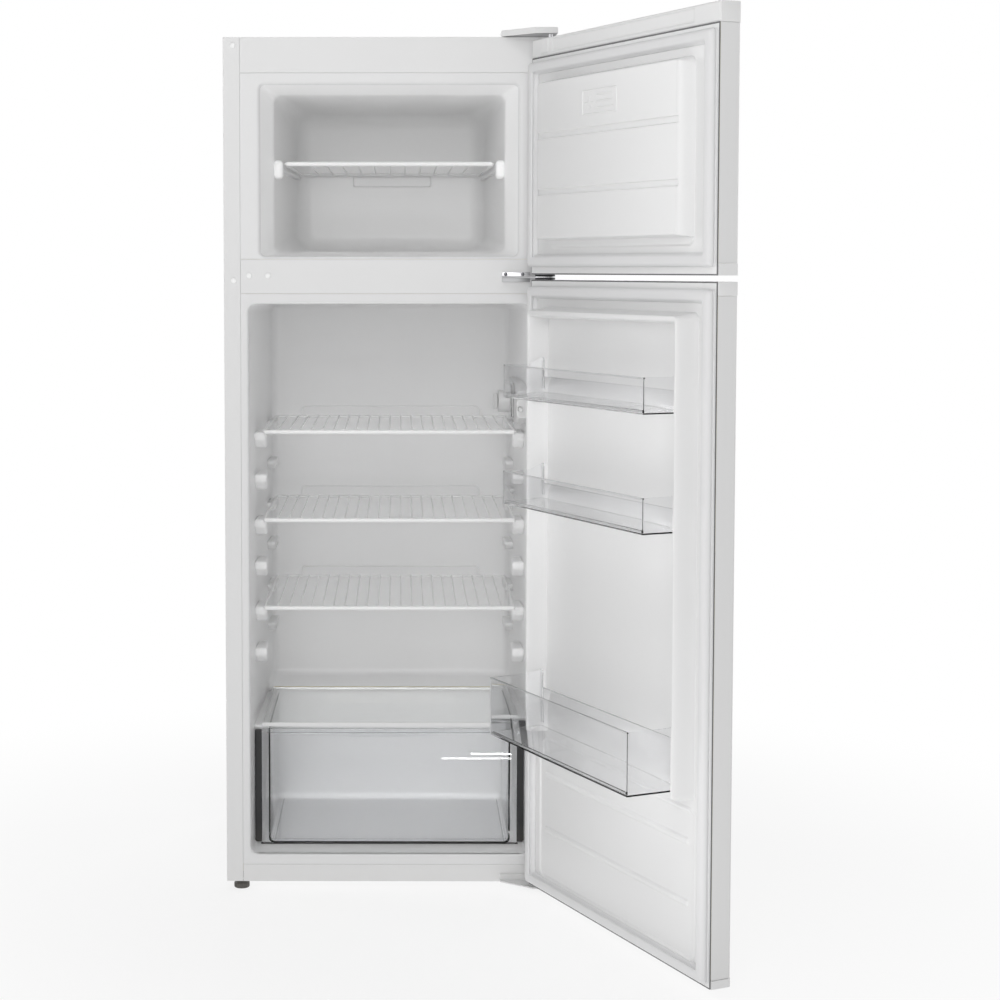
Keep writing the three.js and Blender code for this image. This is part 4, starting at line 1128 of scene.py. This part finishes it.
def thermostat_knob():
    """A dished disc with grip ribs round it, a raised mark and its shaft."""
    low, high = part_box("thermostat_knob")
    middle = (low + high) / 2
    radius = (high.z - low.z) / 2
    tip = Vector((low.x, middle.y, middle.z))
    r = radius / MM
    outline = [
        (0, 0.6), (r * 0.62, 0.6), (r * 0.72, 0), (r * 0.86, 0.2), (r * 0.93, 1.2), (r * 0.96, 7.4),
        (r * 0.9, 8), (3, 8), (3, 26), (0, 26),
    ]
    disc = turned("knob_disc", outline, tip, "X", 64)
    ribs = grown_from(
        RIB_RING, "knob_ribs", [], Count=36, Ring=radius - 0.85 * MM, Radius=0.75 * MM, Rod=(0, 0, 6.2 * MM),
        Centre=tip + Vector((1.2 * MM, 0, 0)), Turn=(0, math.pi / 2, 0), Material=PLASTIC,
    )
    mark_low = tip + Vector((0.25 * MM, -0.8 * MM, radius * 0.2))
    mark_high = tip + Vector((1.0 * MM, 0.8 * MM, radius * 0.62))
    mark = block("knob_mark", mark_low, mark_high, 0.3 * MM)
    knob = join_pieces("thermostat_knob_finished", [disc, ribs, mark])
    finish_piece(knob, "knob", "white_plastic", PLASTIC, "thermostat_knob")


def switch_button():
    """The sprung plunger with its rounded tip."""
    low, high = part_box("door_switch_button")
    radius = (high.x - low.x) / 2 / MM
    length = (high.y - low.y) / MM
    outline = [
        (0, 0), (radius, 0), (radius, length - 1.6), (radius * 0.8, length - 0.4), (radius * 0.4, length),
        (0, length),
    ]
    button = turned("door_switch_button_finished", outline, back_middle("door_switch_button"), "Y", 32)
    finish_piece(button, "button", "white_plastic", PLASTIC, "door_switch_button")


# ------------------------------------------------------------------ hinges and plugs
def fixings():
    """The plugs in the unused hinge holes and all that hangs the doors."""
    for node in ("hole_plug_top", "hole_plug_side", "hole_plug_rail_outer", "hole_plug_rail_inner"):
        dome_plug(node)
    softened("top_hinge_bracket", "cabinet", "hinge_steel", STEEL, 0.35 * MM)
    softened("top_hinge_cover", "cabinet", "white_plastic", PLASTIC, 1.0 * MM, 4)
    softened("bottom_hinge_bracket", "cabinet", "white_paint", PAINT, 0.5 * MM)
    bracket = settled(bevel(from_cad("middle_hinge_bracket", "middle_bracket"), 0.5 * MM))
    rib = slab("bracket_slot", (206, 214), (-3.3, -2.6), (1018.4, 1021.6), 0.3)
    whole = join_pieces("middle_hinge_bracket_finished", [bracket, rib])
    finish_piece(whole, "cabinet", "hinge_steel", STEEL, "middle_hinge_bracket")
    hinge_bushings()
    hinge_screws()


def hinge_bushings():
    """Black rings on the middle hinge pin, each with its door stop."""
    sides = 40
    bore, rim, chamfer = 4.1, 10.2, 0.6
    pieces = []
    for low, high in ((1016.8, 1019.3), (1022.2, 1024.7)):
        outline = [
            (bore, low), (rim - chamfer, low), (rim, low + 0.5), (rim, high - 0.5), (rim - chamfer, high),
            (bore, high),
        ]
        rings = []
        for r, h in outline:
            turns = (2 * math.pi * i / sides for i in range(sides))
            rings.append([PIVOT_FOOT + Vector((r * math.cos(t), r * math.sin(t), h)) * MM for t in turns])
        pieces.append(skin_rings("bushing", rings, loop=True))
        pieces.append(slab("stop", (236, 250), (-47, -29), (low, high), 0.6))
    finish_piece(join_pieces("hinge_bushings", pieces), "cabinet", "black_plastic", BLACK_PLASTIC)


def hinge_screws():
    """The two screws of the middle hinge bracket."""
    for node in ("middle_hinge_screw_left", "middle_hinge_screw_right"):
        low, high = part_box(node)
        radius = (high.x - low.x) / 2 / MM
        height = (high.y - low.y) / MM
        head = screw(f"{node}_finished", back_middle(node), radius, height, -1, DARK_STEEL)
        finish_piece(head, "cabinet", "hinge_steel", None, node)


def feet():
    """Ribbed feet: the front pair on threaded stems, the rear pair fixed."""
    for side in ("left", "right"):
        for end in ("front", "rear"):
            foot(side, end)


def foot(side, end):
    """One foot; a front foot has its stem and turns."""
    node = f"{end}_foot_{side}"
    low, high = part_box(node)
    centre = Vector(((low.x + high.x) / 2, (low.y + high.y) / 2, low.z))
    height = (high.z - low.z) / MM
    outline = [(0, 0.4), (9, 0.4), (9.6, 0), (11.6, 0), (12.4, 0.6), (12.4, 8.2), (11.4, 9.4), (9.6, 16.0)]
    if end == "front":
        outline += [(5, 16.2), (5, height)]
    outline.append((0, height))
    disc = turned("foot", outline, centre, "Z", 56)
    ribs = grown_from(
        RIB_RING, "foot_ribs", [], Count=24, Ring=12.1 * MM, Radius=0.85 * MM, Rod=(0, 0, 6.2 * MM),
        Centre=centre + Vector((0, 0, 1.5 * MM)), Turn=(0, 0, 0), Material=BLACK_PLASTIC,
    )
    body = f"foot_{side}" if end == "front" else "cabinet"
    whole = join_pieces(f"{node}_finished", [disc, ribs])
    finish_piece(whole, body, "black_plastic", BLACK_PLASTIC, node)


# ------------------------------------------------------------------ machine compartment
def condenser():
    """A snaking tube between two layers of upright wires, held off the back on four brackets."""
    half = 225.0
    base, top = 290.0, 1290.0
    plane = BACK_AT + 13.5
    passes, wires = 9, 44
    route = []
    for i in range(passes):
        z = base + i * (top - base) / (passes - 1)
        ends = (-half + 3, half - 3) if i % 2 == 0 else (half - 3, -half + 3)
        route += [at(ends[0], plane, z), at(ends[1], plane, z)]
    pieces = [bent_rod("condenser_tube", route, 2.5 * MM, 24 * MM, BLACK_STEEL)]
    for layer in (plane + 3.1, plane - 3.1):
        pieces.append(grown_from(
            ROD_ROW, "condenser_wires", [], Count=wires, Start=at(-half + 8, layer, base - 12),
            Step=((2 * half - 16) / (wires - 1) * MM, 0, 0), Rod=(0, 0, (top - base + 24) * MM),
            Radius=0.75 * MM, Sides=6, Material=BLACK_STEEL,
        ))
    for x in (-half + 25, half - 25):
        for z in (base + 187.5, top - 187.5):
            y = (BACK_AT + 0.3, plane + 1)
            pieces.append(slab("condenser_bracket", (x - 7, x + 7), y, (z - 6, z + 6), 1.2))
    whole = join_pieces("condenser_coil_finished", pieces)
    finish_piece(whole, "cabinet", "black_steel", BLACK_STEEL, "condenser_coil")


def compressor():
    """The welded shell with the cradle, cover, tray, inlet and pipe round it."""
    low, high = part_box("compressor")
    middle = (low + high) / 2
    stretch = (high.x - low.x) / (high.y - low.y)
    r = (high.y - low.y) / 2 / MM
    h = (high.z - low.z) / MM
    outline = [
        (0, 0), (r * 0.7, 0), (r * 0.86, 4), (r * 0.96, 14), (r * 0.985, 30), (r * 0.985, h * 0.52),
        (r, h * 0.53), (r, h * 0.56), (r * 0.985, h * 0.57), (r * 0.97, h * 0.66), (r * 0.9, h * 0.78),
        (r * 0.76, h * 0.9), (r * 0.5, h * 0.98), (r * 0.2, h), (0, h),
    ]
    shell = turned("compressor_finished", outline, Vector((0, 0, 0)), "Z", 72, 40)
    place = Matrix.Translation((middle.x, middle.y, low.z))
    shell.data.transform(place @ Matrix.Diagonal((stretch, 1, 1, 1)))
    finish_piece(shell, "cabinet", "black_steel", BLACK_STEEL, "compressor")
    softened("compressor_cradle", "cabinet", "black_steel", BLACK_STEEL, 0.8 * MM)
    softened("compressor_terminal_cover", "cabinet", "black_plastic", BLACK_PLASTIC, 3 * MM, 4)
    softened("evaporation_tray", "cabinet", "black_plastic", BLACK_PLASTIC, 0.8 * MM)
    softened("cord_inlet", "cabinet", "black_plastic", BLACK_PLASTIC, 1.5 * MM)
    pipe = from_cad("refrigerant_pipe")
    smooth(pipe.data, 60)
    finish_piece(pipe, "cabinet", "copper_pipe", COPPER, "refrigerant_pipe")


def kept_nodes():
    """Pieces whose own shape is right already and only need a finish."""
    for node in ("cabinet_insulation", "freezer_door_foam", "fridge_door_foam"):
        painted(frame["nodes"][node], FOAM)
    painted(frame["nodes"]["evaporator_plate"], ALUMINIUM)


# ------------------------------------------------------------------ doors
def door_shell(name):
    """The painted skin with its end caps, and a dark strip round the lining that is painted shadow under the
    gasket's lip.
    """
    softened(f"{name}_skin", name, "white_paint", PAINT, 0.3 * MM)
    softened(f"{name}_bottom_cap", name, "white_plastic", PLASTIC, 1.2 * MM, 4)
    pieces = [settled(bevel(from_cad(f"{name}_top_cap", "cap"), 1.2 * MM, 4))]
    if name == "freezer_door":
        pieces.append(hung(cap_face()))
    cap = join_pieces(f"{name}_top_cap_finished", pieces)
    finish_piece(cap, name, "white_plastic", PLASTIC, f"{name}_top_cap")
    painted_seam_shadow(name)


def painted_seam_shadow(name):
    """A dark strip where the door's skin is folded over the edge of its lining: the fold is there, its
    darkness is painted shadow from the gasket's lip.
    """
    low, high = DOOR_LEVELS[name]
    if name == "freezer_door":
        high = levels_of("freezer_door_top_cap")[0]
    edge, width = 0.75, 1.9
    rings = []
    for inset, w in ((0, -1.6), (0, -0.2), (width, -0.2), (width, -1.6)):
        u = (edge + inset, DOOR_WIDTH - edge - inset)
        rings.append(door_hoop(u, (low + inset, high - inset), 0.5, w, 3))
    strip = hung(skin_rings(f"{name}_seam", rings, loop=True))
    finish_piece(strip, name, "gasket_rubber", SEAM_SHADOW_GREY)


def cap_face():
    """The freezer door cap's inner face: a long recessed panel and the round boss of the hinge pin."""
    low, high = levels_of("freezer_door_top_cap")
    near, far = 0.6, DOOR_WIDTH - 0.6
    boss_at = 42
    panel_near, panel_far = 66, 476

    def height(u, z):
        panel = inside_distance(u, z, (panel_near, panel_far), (low + 5, high - 3), 2)
        boss = 1 - ease(abs(u - boss_at), 9, 13)
        edge = min(u - near, far - u, z - low, high - z)
        level = -1.6 + 1.5 * ease(edge, 0, 1.4) - 1.3 * ease(panel, 0, 2.0)
        return level + 1.4 * boss * ease(z, low + 3, low + 7)

    us = in_steps(near, far, 20, ((boss_at, 14), (panel_near, 5), (panel_far, 5), (near, 3), (far, 3)))
    zs = in_steps(low, high, 3, ((low + 2, 6), (high - 3, 4)))
    return facing_in(grid_sheet("cap_face", us, zs, on_door, height))


def badge_height(u, z):
    """A raised badge: a thin frame round a star and three bars."""
    middle, spacing = 1283, 10
    frame_in = inside_distance(u, z, (207, 309), (middle - 19, middle + 19), 1.5)
    level = 1.1 * (ease(frame_in, 0, 1) - ease(frame_in, 1.8, 2.8))
    level += 1.0 * star_height(u, z, 228, middle, 13)
    for line in (middle + spacing, middle, middle - spacing):
        bar = inside_distance(u, z, (250, 300), (line - 1.6, line + 1.6), 1.2)
        level += 0.8 * ease(bar, 0, 1)
    return level


def facing_in(sheet):
    """Turns a door sheet's faces towards the cabinet and gives it its wall."""
    if sheet.data.polygons[0].normal.y < 0:
        sheet.data.flip_normals()
    return settled(wall(sheet, 1.2 * MM, -1))


def star_height(u, z, cu, cz, reach):
    """A raised six-armed star."""
    du, dz = u - cu, z - cz
    distance = math.hypot(du, dz)
    if distance > reach:
        return 0.0
    angle = math.atan2(dz, du)
    arm = abs(math.sin(angle * 3)) * distance
    return 1.0 - ease(arm, 0.7, 2.0)


def freezer_door_lining():
    """The freezer door's plug with its soft edges, two grooves and a raised badge."""
    near, far, low, high = 60, 482, 1066, 1330
    soft, depth = 7, 25
    groove_end = 474
    grooves = (1154, 1242)

    def height(u, z):
        plug = inside_distance(u, z, (near, far), (low, high), 14)
        if plug <= 0:
            return 0.0
        rise = min(u - near, (far - u) * soft / 12, (z - low - 13) * soft / 3, high - z, plug)
        part = min(max(rise / soft, 0), 1)
        level = depth * math.sin(part * math.pi / 2) ** 0.8
        level = max(level, 2.5 * ease(plug, 0, 3))
        if u < groove_end:
            for groove in grooves:
                level -= 2.8 * (1 - ease(abs(z - groove), 3.8, 5.4)) * ease(groove_end - u, 0, 2)
        return level + badge_height(u, z)

    fine_us = ((64, 8), (228, 16), (209, 3), (307, 3), (250, 3), (300, 3), (groove_end, 10), (far, 4))
    us = in_steps(2, DOOR_WIDTH - 2, 16, fine_us)
    base, top = DOOR_LEVELS["freezer_door"][0] + 2, levels_of("freezer_door_top_cap")[0] - 2.2
    zs = in_steps(base, top, 14, ((1076, 10), (grooves[0], 7), (grooves[1], 7), (1283, 21), (1326, 8)))
    sheet = grid_sheet("freezer_door_lining", us, zs, on_door, height, 50)
    piece = hung(facing_in(sheet))
    finish_piece(piece, "freezer_door", "liner_plastic", DOOR_LINING, "freezer_door_liner")


def rounded_rise(distance, reach, crest):
    """The height of a rib's rounded shoulder at a distance in from its foot."""
    t = min(max(distance / reach, 0), 1)
    return crest * math.sqrt(1 - (1 - t) ** 2)


def fridge_door_lining():
    """The fridge door's frame of ribs round the bins, and the shallow beads below it."""
    crest = 34.6
    near, far, low, high = 45, 495, 284, 973
    beads = (222, 132)

    def height(u, z):
        hinge_rib = min(u - near, 58 - u, z - low, 967 - z)
        free_rib = min(u - 482, far - u, z - low, 966 - z)
        top_rib = min(u - 47, 494 - u, z - 956, high - z)
        level = 0.0
        for rib, reach in ((hinge_rib, 4), (free_rib, 5), (top_rib, 6)):
            level = max(level, rounded_rise(rib, reach, crest))
        corner = inside_distance(u, z, (near, far), (low - 4, high), 12)
        level = min(level, crest * ease(corner, -1, 5)) if level > 0 else 0.0
        for bead in beads:
            inside = inside_distance(u, z, (56, 484), (bead - 6, bead + 6), 5)
            level = max(level, 2.6 * ease(inside, 0, 4))
        frame_in = inside_distance(u, z, (40, 499), (52, 268), 14)
        level += 2.2 * (1 - ease(abs(frame_in), 0.5, 4.5)) if frame_in > -6 else 0
        return level

    us = in_steps(2, DOOR_WIDTH - 2, 18, ((near, 9), (58, 6), (484, 6), (far, 9)))
    base, top = DOOR_LEVELS["fridge_door"]
    fine_zs = ((52, 7), (beads[1], 8), (beads[0], 8), (268, 7), (286, 7), (957, 6), (970, 8))
    zs = in_steps(base + 2, top - 2, 18, fine_zs)
    sheet = grid_sheet("fridge_door_lining", us, zs, on_door, height, 55)
    pieces = [facing_in(sheet)]
    for z in (832, 664, 296):
        for u in ((57, 64), (476, 484)):
            pieces.append(door_slab("bin_lug", u, (13, 29), (z - 6, z - 0.4), 1.6))
    piece = hung(join_pieces("fridge_door_lining", pieces))
    finish_piece(piece, "fridge_door", "liner_plastic", DOOR_LINING, "fridge_door_liner")


def gasket(name):
    """A bellows profile carried round the door."""
    low, high = levels_of(f"{name}_gasket")
    outer, inner = 4, 24
    profile = [
        (outer, 0.35), (6.2, 1.6), (4.6, 3.4), (4.4, 6.2), (5.6, 9.6), (8.2, 11.4), (10.5, 11.9),
        (17.5, 11.9), (19.6, 11.4), (20.6, 10.2), (20.2, 8.8), (18.4, 7.6), (18.4, 6.8), (20.6, 5.8),
        (22.6, 4.0), (23.8, 1.8), (inner, 0.35),
    ]
    rings = []
    for inset, w in profile:
        z = (low + inset - outer, high - inset + outer)
        rings.append(door_hoop((inset, DOOR_WIDTH - inset), z, 3 + (inner - inset) * 0.1, w, 5))
    seal = hung(skin_rings(f"{name}_gasket_finished", rings, loop=True, angle=50))
    finish_piece(seal, name, "gasket_rubber", RUBBER, f"{name}_gasket")


def bins():
    """Two equal bins and the taller, deeper one for bottles."""
    door_bin("top", 832, 52, 62, 80)
    door_bin("middle", 664, 52, 62, 80)
    door_bin("bottle", 296, 92, 98, 102)


def door_bin(name, base, height, rear, reach):
    """A clear bin with a rolled rim and the ribbed clips at its ends."""
    node = f"door_bin_{name}"
    shell = settled(bevel(from_cad(node, f"{node}_shell"), 0.6 * MM), angle=12)
    shell.data.transform(SHUT)
    top = base + height
    pieces = [
        shell,
        door_slab("rim", (59.4, 480.6), (reach - 2.9, reach - 0.1), (top - 2.4, top - 0.1), 0.9),
        door_slab("foot", (64, 476), (reach - 4.5, reach - 2.2), (base + 2.1, base + 6), 0.6),
    ]
    clip = (base + 8, base + rear - 4)
    for u in (64, 70, 474):
        pieces.append(door_slab("clip_rib", (u - 0.9, u + 0.9), (11.3, 14.6), clip, 0.6))
    whole = hung(join_pieces(f"{node}_finished", pieces))
    finish_piece(whole, f"bin_{name}", "clear_plastic", CLEAR, node)


def doors():
    """Both doors with their shells, linings, seals and bins."""
    for name in DOOR_LEVELS:
        door_shell(name)
    freezer_door_lining()
    fridge_door_lining()
    for name in DOOR_LEVELS:
        gasket(name)
    bins()


# ------------------------------------------------------------------ floor, light and camera
def floor():
    """A pale floor that brightens into the white surround."""
    radius, under, over = 9000, -4, -0.5
    outline = [(0, under), (radius, under), (radius, over), (0, over)]
    disc = turned("studio_floor", outline, Vector((CENTRE, FRONT, 0)), "Z", 96)
    material, tree, shader = shell_of("pale_floor")
    coated(tree, shader, (0.93, 0.93, 0.93), 0.75, 0.01, 2.0, 0.05, 300.0, 0.3, 0.00002, 0.0, 0.2)
    place = tree.nodes.new("ShaderNodeTexCoord")
    away = tree.nodes.new("ShaderNodeVectorMath")
    away.operation = "DISTANCE"
    away.inputs[1].default_value = (CENTRE + 0.1, FRONT + 0.1, 0)
    tree.links.new(place.outputs["Object"], away.inputs[0])
    fade = tree.nodes.new("ShaderNodeMapRange")
    fade.interpolation_type = "SMOOTHSTEP"
    fade.inputs["From Min"].default_value = 0.45
    fade.inputs["To Min"].default_value = 0.8
    fade.inputs["From Max"].default_value = 1.5
    tree.links.new(away.outputs["Value"], fade.inputs["Value"])
    glow = tree.nodes.new("ShaderNodeEmission")
    glow.inputs["Strength"].default_value = 1.0
    mixed = mixed_shader(tree, fade.outputs[0], shader.outputs[0], glow.outputs[0])
    tree.links.new(mixed, tree.nodes["Material Output"].inputs["Surface"])
    disc.data.materials.append(material)


def soft_light(name, place, aim, width, height, power):
    """An area light at a place, turned towards its aim."""
    lamp = bpy.data.lights.new(name, "AREA")
    lamp.shape = "RECTANGLE"
    lamp.size = width
    lamp.size_y = height
    lamp.energy = power
    holder = bpy.data.objects.new(name, lamp)
    bpy.context.scene.collection.objects.link(holder)
    holder.location = place
    holder.rotation_euler = (Vector(aim) - Vector(place)).to_track_quat("-Z", "Y").to_euler()
    return holder


def lights():
    """Soft lights all round, the front ones strongest from above, and two strips at the floor."""
    aim = (CENTRE, 0.1, 0.75)
    soft_light("key", (-0.4, -3.9, 2.4), aim, 1.6, 0.9, 25)
    soft_light("high_fill", (-0.3, -1.9, 3.1), (CENTRE, 0.1, 0.6), 1.4, 0.6, 12)
    soft_light("front_fill", (-0.1, -3.9, 1.3), aim, 1.4, 0.9, 13)
    soft_light("side_fill", (-2.4, -2.4, 1.6), aim, 1.4, 2.0, 10)
    soft_light("back_fill", (0.6, 4.2, 2.6), aim, 3.0, 1.6, 70)
    soft_light("right_fill", (4.2, 1.2, 1.8), aim, 1.6, 2.0, 34)
    soft_light("left_fill", (-4.2, 1.9, 1.8), aim, 1.6, 2.0, 34)
    for x, y, length in ((176, -721, 0.146), (209, -761, 0.084)):
        place = at(x, y, 20)
        strip = soft_light("low_strip", place, place + Vector((0, 0, 1)), length, 0.016, 0.25)
        strip.visible_camera = False


def surround():
    """A white surround that is dim as a light, brighter in reflections and full white to the camera."""
    as_light, in_reflections, to_camera = 0.19, 0.75, 1.0
    world = bpy.data.worlds.new("studio")
    bpy.context.scene.world = world
    world.use_nodes = True
    tree = world.node_tree
    tree.nodes.clear()
    path = tree.nodes.new("ShaderNodeLightPath")
    mirrored_ray = maths(tree, "MAXIMUM", path.outputs["Is Glossy Ray"], path.outputs["Is Transmission Ray"])
    glows = []
    for strength in (as_light, in_reflections, to_camera):
        glow = tree.nodes.new("ShaderNodeBackground")
        glow.inputs["Color"].default_value = (1, 1, 1, 1)
        glow.inputs["Strength"].default_value = strength
        glows.append(glow.outputs[0])
    unseen = mixed_shader(tree, mirrored_ray, glows[0], glows[1])
    whole = mixed_shader(tree, path.outputs["Is Camera Ray"], unseen, glows[2])
    end = tree.nodes.new("ShaderNodeOutputWorld")
    tree.links.new(whole, end.inputs["Surface"])


def camera():
    """A camera a little above the middle, level within a few degrees, with its frame shifted."""
    view = bpy.data.cameras.new("camera")
    view.lens = 72.66
    view.sensor_width = 36
    view.shift_x = 0.11
    view.shift_y = -0.10
    view.clip_start = 0.05
    view.clip_end = 60
    holder = new_object("camera", view)
    holder.location = at(18.72, -3301.61, 1034.23)
    holder.rotation_euler = (math.radians(90 - 3.72), 0, math.radians(0.3))
    bpy.context.scene.camera = holder


camera()
surround()
lights()
floor()
cabinet_shell()
freezer_lining()
fridge_lining()
shelves()
crisper()
control_unit()
fixings()
feet()
condenser()
compressor()
kept_nodes()
doors()
bpy.context.scene.view_settings.view_transform = "Standard"
